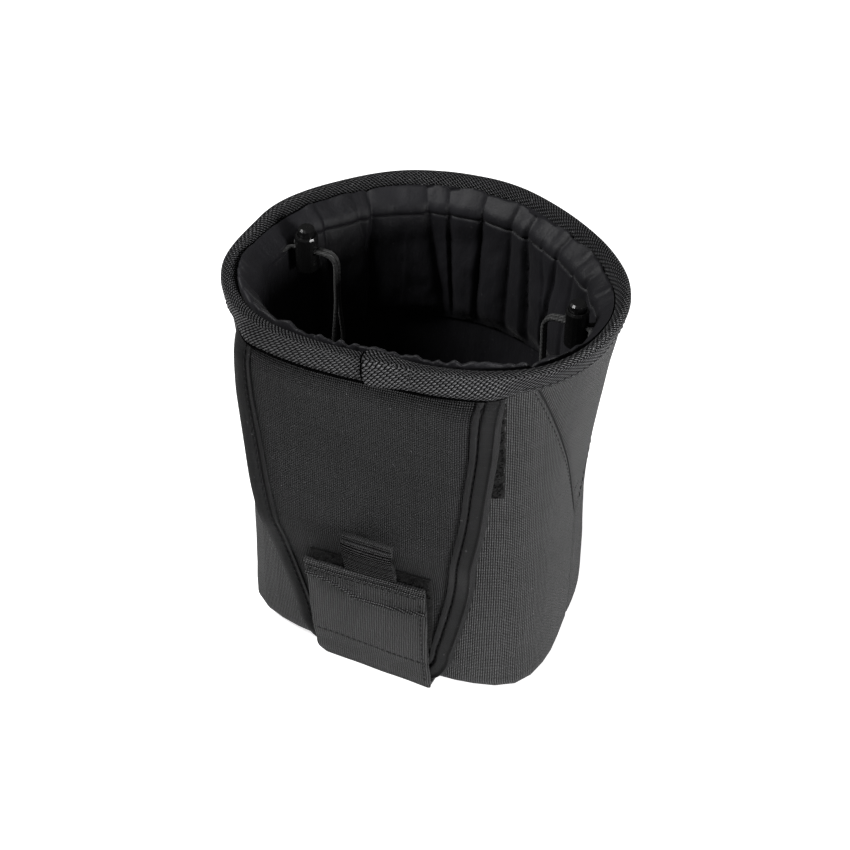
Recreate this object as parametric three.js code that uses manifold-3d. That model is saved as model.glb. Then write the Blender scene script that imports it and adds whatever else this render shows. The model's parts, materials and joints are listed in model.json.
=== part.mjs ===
// Lens dry bag: a padded fabric pouch with a drawstring collar inside its mouth and a belt flap.
// Millimetres, +Z up. The origin is the middle of the base, on the surface that the bag stands on.
// X is the width and -Y is the belt side.

import * as THREE from 'three';
import { mergeVertices } from 'three/addons/utils/BufferGeometryUtils.js';
import Module from 'manifold-3d';

const wasm = await Module();
wasm.setup();

// Clearances between sewn layers
const GAP = 0.3;
const PANEL_GAP = 0.5;

// Body: outer face of the fabric wall
const BODY_HEIGHT = 160;
const BASE_HALF_WIDTH = 63;
const BASE_FRONT = 54;
const BASE_BACK = 54;
const BASE_WIDEST_Y = -8;
const MOUTH_HALF_WIDTH = 75;
const MOUTH_FRONT = 61.8;
const MOUTH_BACK = 63.8;
const MOUTH_WIDEST_Y = 1;
const FLARE_POWER = 3.5;
const BASE_FRONT_POWER = 4.2;
const BASE_BACK_POWER = 2.6;
const MOUTH_FRONT_POWER = 2.6;
const MOUTH_BACK_POWER = 2.0;
const BOTTOM_ROUND = 8;

// Layers of the wall and the base, from the outside in
const SHELL = 1.2;
const FOAM = 3.4;
const RIM_FOAM = 0.8;
const RIM_BAND = 18;
const LINING = 0.8;
const BASE_PANEL = 1.2;
const BASE_FOAM = 4.1;

// Side gussets: a V that opens towards the mouth
const GUSSET_HEIGHT = 98;
const GUSSET_Y = 1;
const GUSSET_HALF_MOUTH = 44;

// Rim binding tape
const TAPE = 0.9;
const BINDING_DROP = 7;
const CROWN_ROUND = 1.2;

// Fuzzy panel on the wall under the flap, and the plain tag at the rim
const LOOP_PANEL_HALF_WIDTH = 51;
const LOOP_PANEL_HEIGHT = 46;
const LOOP_PANEL_DROP = 13;
const LOOP_PANEL = 0.8;
const TAG_ANGLE = THREE.MathUtils.degToRad(27);
const TAG_WIDTH = 12;
const TAG_HEIGHT = 9;
const TAG = 0.9;

// Drawstring collar inside the mouth
const COLLAR_HEIGHT = 50;
const CLOTH = 0.8;
const COLLAR_FOLDS = 16;
const FOLD_DEPTH = 1.6;
const COLLAR_BULGE = 4;
const LOCK_CLEAR_ANGLE = THREE.MathUtils.degToRad(13);
const HEM_DROP = 10;
const HEM_RADIUS = 2.4;
const HEM_BORE = 1.7;
const CORD_RADIUS = 0.9;
const CORD_BEND = 4;
const BUTTONHOLE_ANGLE = THREE.MathUtils.degToRad(4.5);

// Cord locks at the two ends of the mouth
const BARREL_RADIUS = 4.6;
const BARREL_BELOW = 9.8;
const BARREL_ABOVE = 6.4;
const BARREL_WALL = 1;
const BARREL_EDGE = 0.8;
const LOCK_SLIDE = 3;
const PLUNGER_TRAVEL = 2.6;
const PLUNGER_PROUD = 3.4;
const PLUNGER_TAIL = 1.4;
const SPRING_RADIUS = 2.4;
const SPRING_WIRE = 0.3;
const SPRING_TURNS = 4;
const TAIL_BEND = 4.8;
const TAIL_DROP = 45;
const TAIL_LOOP_HALF_WIDTH = 4;

// Belt flap
const FLAP_TOP_GAP = 0.3;
const FLAP_BOTTOM = 4.2;
const FLAP_SHEET = 0.6;
const FLAP_THICKNESS = 3.6;
const FLAP_EDGE_THICKNESS = 1.9;
const FLAP_PINCH = 14;
const FLAP_TOP_HALF_WIDTH = 53.6;
const FLAP_MIDDLE_HALF_WIDTH = 45.2;
const FLAP_END_HALF_WIDTH = 22;
const FLAP_STANDOFF = 7;
const FLAP_CORE_MARGIN = 12;
const FLAP_CORE_GAP = 0.6;
const FLAP_TAPE = 0.7;
const FLAP_TAPE_GAP = 0.6;
const FLAP_TAPE_WIDTH = 8.5;
const HOOK_PATCH = 1;
const HOOK_PATCH_HALF_WIDTH = 30;
const HOOK_PATCH_HEIGHT = 34;
const HOOK_PATCH_DROP = 22;

// Lock strap on the flap's face
const STRAP = 1.2;
const STRAP_HALF_WIDTH = 25.4;
const STRAP_TOP_HALF_WIDTH = 27;
const STRAP_FLOOR_GAP = 0.6;
const STRAP_HEIGHT = 54;
const STRAP_FOLD_DEPTH = 5.5;
const FACE_STRIP = 0.8;
const FACE_STRIP_LOW = 23;
const FACE_STRIP_HIGH = 62;
const STRAP_PATCH = 1.3;
const STRAP_PATCH_LOW = 24;
const STRAP_PATCH_HIGH = 43;
const TAB = 1.3;
const TAB_HALF_WIDTH = 10.3;
const TAB_LOW = 44;
const TAB_HIGH = 78;

// Heights that follow from the sizes above
const wallStart = BASE_PANEL + GAP;
const foamStart = wallStart + 2;
const rimStart = BODY_HEIGHT - RIM_BAND;
const bindingFoot = BODY_HEIGHT - BINDING_DROP;
const gussetApex = BODY_HEIGHT - GUSSET_HEIGHT;
const hemHeight = BODY_HEIGHT - HEM_DROP;
const collarLow = hemHeight - COLLAR_HEIGHT;
const flapTop = bindingFoot - FLAP_TOP_GAP;

// Facets: columns around the wall, and its levels from the base up
const AROUND = 48;
const COLLAR_COLUMNS = COLLAR_FOLDS * 4;
const middleLevels = [BODY_HEIGHT * 0.5, BODY_HEIGHT * 0.73];
const LEVELS = [wallStart, foamStart, BOTTOM_ROUND, ...middleLevels, rimStart, BODY_HEIGHT];

// Small tools

const lerp = THREE.MathUtils.lerp;
const smooth = (t) => THREE.MathUtils.smoothstep(t, 0, 1);

// A smooth curve through [position, value] pairs, level beyond its ends
function curveThrough(pairs) {
  return (position) => {
    const last = pairs.length - 1;
    if (position <= pairs[0][0]) return pairs[0][1];
    if (position >= pairs[last][0]) return pairs[last][1];
    const k = pairs.findIndex((pair) => pair[0] > position) - 1;
    const [from, to] = [pairs[k], pairs[k + 1]];
    const slope = (i) => {
      if (i === 0 || i === last) return 0;
      return (pairs[i + 1][1] - pairs[i - 1][1]) / (pairs[i + 1][0] - pairs[i - 1][0]);
    };
    const span = to[0] - from[0];
    const t = (position - from[0]) / span;
    const h = t * t * (3 - 2 * t);
    const lead = t * (1 - t) * (1 - t) * span * slope(k);
    const trail = t * t * (t - 1) * span * slope(k + 1);
    return lerp(from[1], to[1], h) + lead + trail;
  };
}

function fromTriangles(points, triangles) {
  const positions = [];
  for (const triangle of triangles) {
    for (const index of triangle) positions.push(points[index].x, points[index].y, points[index].z);
  }
  const geometry = new THREE.BufferGeometry();
  geometry.setAttribute('position', new THREE.Float32BufferAttribute(positions, 3));
  geometry.computeVertexNormals();
  return geometry;
}

// A solid between two faces. Each section is a strip of matching points, outer[k] and inner[k];
// the sections follow each other along the piece and may close into a ring.
function loft(sections, closed) {
  const count = sections[0].outer.length;
  const points = sections.flatMap((section) => [...section.outer, ...section.inner]);
  const outer = (i, k) => (i % sections.length) * 2 * count + k;
  const inner = (i, k) => outer(i, k) + count;
  const triangles = [];
  const quad = (a, b, c, d) => triangles.push([a, b, c], [a, c, d]);
  const steps = closed ? sections.length : sections.length - 1;
  for (let i = 0; i < steps; i += 1) {
    for (let k = 0; k < count - 1; k += 1) {
      quad(outer(i, k), outer(i + 1, k), outer(i + 1, k + 1), outer(i, k + 1));
      quad(inner(i, k), inner(i, k + 1), inner(i + 1, k + 1), inner(i + 1, k));
    }
    quad(outer(i, 0), inner(i, 0), inner(i + 1, 0), outer(i + 1, 0));
    const top = count - 1;
    quad(outer(i, top), outer(i + 1, top), inner(i + 1, top), inner(i, top));
  }
  if (!closed) {
    const end = sections.length - 1;
    for (let k = 0; k < count - 1; k += 1) {
      quad(outer(0, k), outer(0, k + 1), inner(0, k + 1), inner(0, k));
      quad(outer(end, k), inner(end, k), inner(end, k + 1), outer(end, k + 1));
    }
  }
  return fromTriangles(points, triangles);
}

// A stack of closed outlines of equal length, capped at both ends
function stack(outlines) {
  const count = outlines[0].length;
  const points = outlines.flat();
  const middle = (outline) => {
    const sum = outline.reduce((total, point) => total.add(point), new THREE.Vector3());
    return sum.divideScalar(outline.length);
  };
  const low = points.push(middle(outlines[0])) - 1;
  const high = points.push(middle(outlines[outlines.length - 1])) - 1;
  const at = (level, k) => level * count + (k % count);
  const triangles = [];
  for (let k = 0; k < count; k += 1) {
    for (let level = 0; level < outlines.length - 1; level += 1) {
      triangles.push([at(level, k), at(level, k + 1), at(level + 1, k + 1)]);
      triangles.push([at(level, k), at(level + 1, k + 1), at(level + 1, k)]);
    }
    triangles.push([low, at(0, k + 1), at(0, k)]);
    triangles.push([high, at(outlines.length - 1, k), at(outlines.length - 1, k + 1)]);
  }
  return fromTriangles(points, triangles);
}

function regularShape(radius, sides) {
  const corners = [];
  for (let k = 0; k < sides; k += 1) {
    const angle = ((k + 0.5) / sides) * 2 * Math.PI;
    corners.push(new THREE.Vector2(radius * Math.cos(angle), radius * Math.sin(angle)));
  }
  return new THREE.Shape(corners);
}

function tube(curve, radius, sides, steps) {
  return new THREE.ExtrudeGeometry(regularShape(radius, sides), { steps, extrudePath: curve });
}

function toSolid(geometry) {
  const bare = geometry.clone();
  bare.deleteAttribute('normal');
  bare.deleteAttribute('uv');
  const merged = mergeVertices(bare, 1e-4);
  const vertProperties = Float32Array.from(merged.attributes.position.array);
  const triVerts = Uint32Array.from(merged.index.array);
  return new wasm.Manifold(new wasm.Mesh({ numProp: 3, vertProperties, triVerts }));
}

function toGeometry(solid) {
  const mesh = solid.getMesh();
  const geometry = new THREE.BufferGeometry();
  const position = new THREE.BufferAttribute(Float32Array.from(mesh.vertProperties), 3);
  geometry.setAttribute('position', position);
  geometry.setIndex(new THREE.BufferAttribute(Uint32Array.from(mesh.triVerts), 1));
  geometry.computeVertexNormals();
  return geometry;
}

function cut(geometry, ...tools) {
  return toGeometry(tools.reduce((solid, tool) => solid.subtract(toSolid(tool)), toSolid(geometry)));
}

function box(sizeX, sizeY, sizeZ, x, y, z) {
  return new THREE.BoxGeometry(sizeX, sizeY, sizeZ).translate(x, y, z);
}

// Body form

const flare = (z) => (z / BODY_HEIGHT) ** FLARE_POWER;
const widestY = (z) => lerp(BASE_WIDEST_Y, MOUTH_WIDEST_Y, z / BODY_HEIGHT);
const frontPower = (z) => lerp(BASE_FRONT_POWER, MOUTH_FRONT_POWER, z / BODY_HEIGHT);
const backPower = (z) => lerp(BASE_BACK_POWER, MOUTH_BACK_POWER, z / BODY_HEIGHT);
const halfWidth = (z) => lerp(BASE_HALF_WIDTH, MOUTH_HALF_WIDTH, flare(z));
const frontDepth = (z) => lerp(BASE_FRONT, MOUTH_FRONT, flare(z)) + widestY(z);
const backDepth = (z) => lerp(BASE_BACK, MOUTH_BACK, flare(z)) - widestY(z);

// How far the wall tucks in where it rounds under to the base
function bottomTuck(z) {
  if (z >= BOTTOM_ROUND) return 0;
  return BOTTOM_ROUND - Math.sqrt(BOTTOM_ROUND ** 2 - (BOTTOM_ROUND - z) ** 2);
}

// Point of the body's cross-section at a height, moved in from the outer face
function bodyPoint(angle, z, inset) {
  const [cos, sin] = [Math.cos(angle), Math.sin(angle)];
  const power = sin < 0 ? frontPower(z) : backPower(z);
  const depth = sin < 0 ? frontDepth(z) : backDepth(z);
  const across = Math.abs(cos) / (halfWidth(z) - inset);
  const along = Math.abs(sin) / (depth - inset);
  const radius = (across ** power + along ** power) ** (-1 / power);
  return new THREE.Vector3(radius * cos, widestY(z) + radius * sin, z);
}

// The rows below and above a height, and where it lies between them
function neighbours(rows, z) {
  const above = rows.findIndex((row) => row >= z);
  const k = above < 0 ? rows.length - 1 : Math.max(above, 1);
  return { low: rows[k - 1], high: rows[k], t: (z - rows[k - 1]) / (rows[k] - rows[k - 1]) };
}

// The same point on the faceted wall, which runs straight from level to level
function wallPoint(angle, z, insetAt) {
  const { low, high, t } = neighbours(LEVELS, z);
  const at = (level) => bodyPoint(angle, level, insetAt(level) + bottomTuck(level));
  return at(low).lerp(at(high), t);
}

// Outer face of the belt side, as a depth over width and height
function frontY(x, z) {
  const { low, high, t } = neighbours(LEVELS, z);
  const at = (level) => {
    const share = (Math.abs(x) / (halfWidth(level) - bottomTuck(level))) ** frontPower(level);
    const depth = (frontDepth(level) - bottomTuck(level)) * (1 - share) ** (1 / frontPower(level));
    return widestY(level) - depth;
  };
  return lerp(at(low), at(high), t);
}

const rimThinning = (z) => smooth((z - rimStart) / RIM_BAND);
const shellOuter = () => 0;
const shellInner = () => SHELL;
const foamOuter = () => SHELL + PANEL_GAP;
const foamInner = (z) => foamOuter() + lerp(FOAM, RIM_FOAM, rimThinning(z));
const liningOuter = (z) => foamInner(z) + GAP;
const liningInner = (z) => liningOuter(z) + LINING;

function rowsBetween(rows, start, end) {
  return [start, ...rows.filter((row) => row > start && row < end), end];
}

const rowsFrom = (start, end = BODY_HEIGHT) => rowsBetween(LEVELS, start, end);

// A ring of the wall between two depths
function wallRing(rows, outerInset, innerInset) {
  const sections = [];
  for (let i = 0; i < AROUND; i += 1) {
    const angle = (i / AROUND) * 2 * Math.PI;
    sections.push({
      outer: rows.map((z) => wallPoint(angle, z, outerInset)),
      inner: rows.map((z) => wallPoint(angle, z, innerInset)),
    });
  }
  return loft(sections, true);
}

// A prism along X from an outline in Y and Z
function prism(corners, fromX, toX) {
  const shape = new THREE.Shape(corners.map(([y, z]) => new THREE.Vector2(y, z)));
  const geometry = new THREE.ExtrudeGeometry(shape, { depth: toX - fromX, bevelEnabled: false });
  const [x, y, z] = [[1, 0, 0], [0, 1, 0], [0, 0, 1]].map((axis) => new THREE.Vector3(...axis));
  return geometry.applyMatrix4(new THREE.Matrix4().makeBasis(y, z, x)).translate(fromX, 0, 0);
}

const BEYOND = BODY_HEIGHT * 1.2;

// The V of both gussets, widened or narrowed at its seams
function gussetWedge(margin, fromX, toX) {
  const slope = GUSSET_HALF_MOUTH / GUSSET_HEIGHT;
  const drop = margin * Math.sqrt(1 + 1 / slope ** 2);
  const reach = slope * (BEYOND - gussetApex + drop);
  const corners = [
    [GUSSET_Y, gussetApex - drop],
    [GUSSET_Y + reach, BEYOND],
    [GUSSET_Y - reach, BEYOND],
  ];
  return prism(corners, fromX, toX);
}

const shellRing = wallRing(rowsFrom(wallStart), shellOuter, shellInner);

// The side wall on one side of the side seams: side is -1 on the belt side and 1 on the far side
function sideWall(side) {
  const seam = GUSSET_Y + side * GAP / 2;
  const away = seam - side * BEYOND;
  const corners = [[seam, -BEYOND], [away, -BEYOND], [away, BEYOND], [seam, BEYOND]];
  const other = prism(side > 0 ? corners.reverse() : corners, -BEYOND, BEYOND);
  return cut(shellRing, other, gussetWedge(GAP / 2, -BEYOND, BEYOND));
}

function gusset(side) {
  const wedge = toSolid(gussetWedge(-GAP / 2, Math.min(0, side * BEYOND), Math.max(0, side * BEYOND)));
  return toGeometry(toSolid(shellRing).intersect(wedge));
}

function outline(z, inset) {
  const points = [];
  for (let k = 0; k < AROUND; k += 1) points.push(bodyPoint((k / AROUND) * 2 * Math.PI, z, inset));
  return points;
}

const baseFoamLow = BASE_PANEL + GAP;
const baseFoamHigh = baseFoamLow + BASE_FOAM;
const liningLow = baseFoamHigh + GAP;

function basePanel() {
  const low = outline(0, BOTTOM_ROUND - 1);
  const high = outline(BASE_PANEL, bottomTuck(BASE_PANEL));
  return stack([low, high]);
}

function baseFoam() {
  const inset = foamInner(foamStart) + bottomTuck(foamStart) + PANEL_GAP;
  return stack([outline(baseFoamLow, inset), outline(baseFoamHigh, inset)]);
}

function baseLining() {
  const inset = liningInner(liningLow) + bottomTuck(foamStart);
  return stack([outline(liningLow, inset), outline(liningLow + LINING, inset)]);
}

// Tape folded over the top of the wall
function rimBinding() {
  const top = BODY_HEIGHT + GAP;
  const sections = [];
  for (let i = 0; i < AROUND; i += 1) {
    const angle = (i / AROUND) * 2 * Math.PI;
    const outside = () => -GAP - TAPE;
    const inside = (z) => liningInner(z) + GAP + TAPE;
    const crown = top + TAPE;
    sections.push({
      outer: [
        wallPoint(angle, bindingFoot, outside),
        wallPoint(angle, BODY_HEIGHT, outside),
        wallPoint(angle, crown, (z) => outside(z) + CROWN_ROUND),
        wallPoint(angle, crown, (z) => inside(z) - CROWN_ROUND),
        wallPoint(angle, BODY_HEIGHT, inside),
        wallPoint(angle, bindingFoot, inside),
      ],
      inner: [
        wallPoint(angle, bindingFoot, () => -GAP),
        wallPoint(angle, BODY_HEIGHT, () => -GAP),
        wallPoint(angle, top, () => 0),
        wallPoint(angle, top, liningInner),
        wallPoint(angle, BODY_HEIGHT, (z) => liningInner(z) + GAP),
        wallPoint(angle, bindingFoot, (z) => liningInner(z) + GAP),
      ],
    });
  }
  return loft(sections, true);
}

function sideTag() {
  const top = bindingFoot - GAP;
  const rows = rowsFrom(top - TAG_HEIGHT, top);
  const half = TAG_WIDTH / 2 / MOUTH_HALF_WIDTH;
  const sections = [-half, 0, half].map((offset) => {
    const face = (out) => rows.map((z) => wallPoint(TAG_ANGLE + offset, z, () => -out));
    return { outer: face(PANEL_GAP + TAG), inner: face(PANEL_GAP) };
  });
  return loft(sections, false);
}

// A sheet over width and height between two depths. The belt side faces -Y, so `front` is the
// more negative depth.
function frontSheet(heights, widthAt, shares, frontAt, backAt) {
  const sections = shares.map((share) => {
    const face = (depthAt) => heights.map((z) => {
      const x = share * widthAt(z);
      return new THREE.Vector3(x, depthAt(x, z), z);
    });
    return { outer: face(frontAt), inner: face(backAt) };
  });
  return loft(sections, false);
}

function spread(from, to, steps) {
  return Array.from({ length: steps + 1 }, (_, k) => lerp(from, to, k / steps));
}

function loopPanel() {
  const front = (x, z) => frontY(x, z) - PANEL_GAP - LOOP_PANEL;
  const back = (x, z) => frontY(x, z) - PANEL_GAP;
  const high = BODY_HEIGHT - LOOP_PANEL_DROP;
  const heights = rowsFrom(high - LOOP_PANEL_HEIGHT, high);
  return frontSheet(heights, () => LOOP_PANEL_HALF_WIDTH, spread(-1, 1, 16), front, back);
}

// Collar: gathered cloth from a seam on the lining up to the hem at the rim

const hemInset = liningInner(hemHeight) + PANEL_GAP + HEM_RADIUS;

// The cloth lies flat behind the locks at the two ends of the mouth
function slack(angle) {
  const fromEnd = Math.asin(Math.abs(Math.sin(angle)));
  return smooth((fromEnd - LOCK_CLEAR_ANGLE) / LOCK_CLEAR_ANGLE);
}

function collar() {
  const top = hemHeight - HEM_RADIUS - GAP;
  const rows = spread(collarLow, top, 4);
  const sections = [];
  for (let i = 0; i < COLLAR_COLUMNS; i += 1) {
    const angle = (i / COLLAR_COLUMNS) * 2 * Math.PI;
    const fold = 0.5 - 0.5 * Math.cos(angle * COLLAR_FOLDS);
    const face = (depth) => rows.map((z) => {
      const t = (z - collarLow) / (top - collarLow);
      const seat = lerp(liningInner(collarLow) + GAP, hemInset, t * t);
      const swell = COLLAR_BULGE * Math.sin(Math.PI * t) + FOLD_DEPTH * fold * smooth(t * 3);
      return wallPoint(angle, z, () => seat + slack(angle) * swell + depth);
    });
    sections.push({ outer: face(0), inner: face(CLOTH) });
  }
  return loft(sections, true);
}

const hemPoint = (angle) => wallPoint(angle, hemHeight, () => hemInset);
const hemEnd = hemPoint(BUTTONHOLE_ANGLE);

// Ring of round section along the hem's centre line
function hemRing(radius, sides) {
  const rings = [];
  for (let i = 0; i < AROUND; i += 1) {
    const angle = (i / AROUND) * 2 * Math.PI;
    const centre = hemPoint(angle);
    const out = hemPoint(angle + 0.01).sub(hemPoint(angle - 0.01));
    out.set(out.y, -out.x, 0).normalize();
    const ring = [];
    for (let k = 0; k < sides; k += 1) {
      const around = ((k + 0.5) / sides) * 2 * Math.PI;
      const offset = out.clone().multiplyScalar(radius * Math.cos(around));
      offset.z = radius * Math.sin(around);
      ring.push(centre.clone().add(offset));
    }
    rings.push(ring);
  }
  const points = rings.flat();
  const at = (i, k) => (i % AROUND) * sides + (k % sides);
  const triangles = [];
  for (let i = 0; i < AROUND; i += 1) {
    for (let k = 0; k < sides; k += 1) {
      triangles.push([at(i, k), at(i + 1, k), at(i + 1, k + 1)]);
      triangles.push([at(i, k), at(i + 1, k + 1), at(i, k + 1)]);
    }
  }
  return fromTriangles(points, triangles);
}

// Half the strand spacing where the two runs of the cord lie side by side
const STRAND = CORD_RADIUS + GAP / 2;
const buttonhole = { half: STRAND + CORD_BEND + CORD_RADIUS + GAP, high: 2 * (CORD_RADIUS + GAP) };

function hemCasing() {
  const holes = [1, -1].map((side) => {
    const x = side * (hemEnd.x - HEM_RADIUS);
    return box(2 * HEM_RADIUS, 2 * buttonhole.half, buttonhole.high, x, hemEnd.y, hemHeight);
  });
  return cut(hemRing(HEM_RADIUS, 8), hemRing(HEM_BORE, 8), ...holes);
}

// One run of the drawcord through the hem, turning inwards at both buttonholes
function cordRun(direction) {
  const bend = (side) => spread(0, Math.PI / 2, 3).map((turn) => new THREE.Vector3(
    side * (hemEnd.x - CORD_BEND + CORD_BEND * Math.sin(turn)),
    hemEnd.y + direction * (STRAND + CORD_BEND - CORD_BEND * Math.cos(turn)),
    hemHeight,
  ));
  const clear = (STRAND + CORD_BEND + 4) / hemEnd.x;
  const from = BUTTONHOLE_ANGLE + direction * clear;
  const to = direction * (Math.PI - clear) - BUTTONHOLE_ANGLE;
  const along = spread(from, to, 22).map((angle) => hemPoint(angle));
  const points = [...bend(1), ...along, ...bend(-1).reverse()];
  return tube(new THREE.CatmullRomCurve3(points, false, 'centripetal'), CORD_RADIUS, 8, 44);
}

// Cord lock: an upright barrel with a sprung plunger, both cut through for the two strands
const lockX = hemEnd.x - HEM_RADIUS - PANEL_GAP - BARREL_RADIUS;
const boreRadius = BARREL_RADIUS - BARREL_WALL;
const boreFloor = BARREL_WALL + GAP - BARREL_BELOW;
const plungerRadius = boreRadius - GAP;
const slotHalfHeight = CORD_RADIUS + GAP;
const slotHalfWidth = STRAND + CORD_RADIUS + GAP;
const plungerFoot = -slotHalfHeight - PLUNGER_TAIL;
const plungerTop = BARREL_ABOVE + PLUNGER_PROUD;

function lathe(profile) {
  const points = profile.map(([radius, z]) => new THREE.Vector2(radius, z));
  return new THREE.LatheGeometry(points, 16).rotateX(Math.PI / 2);
}

function slot(from, to) {
  return box(4 * BARREL_RADIUS, 2 * slotHalfWidth, to - from, 0, 0, (from + to) / 2);
}

function lockBarrel() {
  const body = lathe([
    [0, -BARREL_BELOW],
    [BARREL_RADIUS - BARREL_EDGE, -BARREL_BELOW],
    [BARREL_RADIUS, BARREL_EDGE - BARREL_BELOW],
    [BARREL_RADIUS, BARREL_ABOVE - BARREL_EDGE],
    [BARREL_RADIUS - BARREL_EDGE / 2, BARREL_ABOVE],
    [boreRadius, BARREL_ABOVE],
    [boreRadius, boreFloor],
    [0, boreFloor],
  ]);
  return cut(body, slot(-slotHalfHeight, slotHalfHeight));
}

function lockPlunger() {
  const body = lathe([
    [0, plungerFoot],
    [plungerRadius, plungerFoot],
    [plungerRadius, plungerTop - BARREL_EDGE],
    [plungerRadius - BARREL_EDGE, plungerTop],
    [0, plungerTop],
  ]);
  return cut(body, slot(-slotHalfHeight, slotHalfHeight + PLUNGER_TRAVEL));
}

class Helix extends THREE.Curve {
  getPoint(t, target = new THREE.Vector3()) {
    const angle = t * SPRING_TURNS * 2 * Math.PI;
    const from = boreFloor + GAP + SPRING_WIRE;
    const to = plungerFoot - GAP - SPRING_WIRE;
    return target.set(SPRING_RADIUS * Math.cos(angle), SPRING_RADIUS * Math.sin(angle), lerp(from, to, t));
  }
}

function lockSpring() {
  return tube(new Helix(), SPRING_WIRE, 5, SPRING_TURNS * 8);
}

// Cord tail: from the buttonhole straight through the lock, over and down, with a loop at its end
const bendX = lockX - BARREL_RADIUS - LOCK_SLIDE - 2 * GAP;
const tailX = bendX - TAIL_BEND;

function cordTail(side) {
  const strand = (direction) => {
    const y = (offset) => hemEnd.y + direction * offset;
    return [
      [hemEnd.x - CORD_BEND - GAP, y(STRAND), hemHeight],
      [lockX, y(STRAND), hemHeight],
      [bendX, y(STRAND), hemHeight],
      [bendX - TAIL_BEND * 0.5, y(STRAND), hemHeight - TAIL_BEND * 0.13],
      [bendX - TAIL_BEND * 0.87, y(STRAND), hemHeight - TAIL_BEND * 0.5],
      [tailX, y(STRAND), hemHeight - TAIL_BEND],
      [tailX, y(STRAND), hemHeight - TAIL_DROP * 0.27],
      [tailX, y(STRAND), hemHeight - TAIL_DROP * 0.44],
      [tailX, y(TAIL_LOOP_HALF_WIDTH * 0.4), hemHeight - TAIL_DROP * 0.57],
      [tailX, y(TAIL_LOOP_HALF_WIDTH * 0.65), hemHeight - TAIL_DROP * 0.7],
      [tailX, y(TAIL_LOOP_HALF_WIDTH * 0.92), hemHeight - TAIL_DROP * 0.82],
      [tailX, y(TAIL_LOOP_HALF_WIDTH), hemHeight - TAIL_DROP * 0.911],
      [tailX, y(TAIL_LOOP_HALF_WIDTH * 0.865), hemHeight - TAIL_DROP * 0.956],
      [tailX, y(TAIL_LOOP_HALF_WIDTH * 0.5), hemHeight - TAIL_DROP * 0.988],
    ];
  };
  const route = [...strand(1), [tailX, hemEnd.y, hemHeight - TAIL_DROP], ...strand(-1).reverse()];
  const points = route.map(([x, y, z]) => new THREE.Vector3(side * x, y, z));
  return tube(new THREE.CatmullRomCurve3(points, false, 'centripetal'), CORD_RADIUS, 8, 48);
}

// Belt flap: its back face, its thickness and its outline

// A height on the flap, as a share of the way up from its end
const flapHeight = (share) => lerp(FLAP_BOTTOM, flapTop, share);
const middleHeight = flapHeight(0.48);
const tapeSeat = FLAP_TAPE_GAP + FLAP_TAPE + PANEL_GAP + 0.1;
const patchSeat = 2 * PANEL_GAP + LOOP_PANEL + HOOK_PATCH + GAP;
const patchHigh = BODY_HEIGHT - HOOK_PATCH_DROP;

const standoff = curveThrough([
  [FLAP_BOTTOM, tapeSeat],
  [flapHeight(0.1), tapeSeat + 0.2],
  [flapHeight(0.29), FLAP_STANDOFF * 0.32],
  [flapHeight(0.385), FLAP_STANDOFF * 0.58],
  [middleHeight, FLAP_STANDOFF],
  [flapHeight(0.68), FLAP_STANDOFF * 0.63],
  [patchHigh, patchSeat],
  [BODY_HEIGHT - LOOP_PANEL_DROP, LOOP_PANEL + GAP + tapeSeat],
  [flapTop, tapeSeat],
]);

// How closely the flap follows the wall's roundness
const follow = curveThrough([
  [FLAP_BOTTOM, 1],
  [flapHeight(0.14), 1],
  [flapHeight(0.29), 0.6],
  [middleHeight, 0.1],
  [flapHeight(0.68), 0.3],
  [patchHigh, 0.95],
  [flapTop, 1],
]);

const flapHalfWidth = curveThrough([
  [FLAP_BOTTOM, FLAP_END_HALF_WIDTH],
  [flapHeight(0.02), FLAP_END_HALF_WIDTH * 1.29],
  [flapHeight(0.1), FLAP_END_HALF_WIDTH * 1.58],
  [flapHeight(0.29), FLAP_MIDDLE_HALF_WIDTH * 0.89],
  [middleHeight, FLAP_MIDDLE_HALF_WIDTH],
  [flapHeight(0.65), FLAP_MIDDLE_HALF_WIDTH * 1.08],
  [flapHeight(0.87), FLAP_TOP_HALF_WIDTH * 0.985],
  [flapTop, FLAP_TOP_HALF_WIDTH],
]);

const ROW_SHARES = [0, 0.02, 0.05, 0.1, 0.19, 0.29, 0.385, 0.48, 0.58, 0.68, 0.78, 0.87, 0.935, 0.975, 1];
const FLAP_ROWS = ROW_SHARES.map(flapHeight);

// A depth that runs straight from row to row, like the faceted sheets
function onRows(rows, depthAt) {
  return (x, z) => {
    const { low, high, t } = neighbours(rows, z);
    return lerp(depthAt(x, low), depthAt(x, high), t);
  };
}

const flapBack = onRows(FLAP_ROWS, (x, z) => {
  const middle = frontY(0, z);
  return middle - standoff(z) + follow(z) * (frontY(x, z) - middle);
});

function flapThickness(x, z) {
  const edge = Math.min(flapHalfWidth(z) - Math.abs(x), z - FLAP_BOTTOM, flapTop - z);
  return lerp(FLAP_EDGE_THICKNESS, FLAP_THICKNESS, smooth(edge / FLAP_PINCH));
}

const flapFront = onRows(FLAP_ROWS, (x, z) => flapBack(x, z) - flapThickness(x, z));

const FLAP_SHARES = [-1, -0.87, -0.72, -0.48, -0.24, 0, 0.24, 0.48, 0.72, 0.87, 1];

function flapOuterPanel() {
  const back = (x, z) => flapFront(x, z) + FLAP_SHEET;
  return frontSheet(FLAP_ROWS, flapHalfWidth, FLAP_SHARES, flapFront, back);
}

function flapInnerPanel() {
  const front = (x, z) => flapBack(x, z) - FLAP_SHEET;
  return frontSheet(FLAP_ROWS, flapHalfWidth, FLAP_SHARES, front, flapBack);
}

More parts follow.
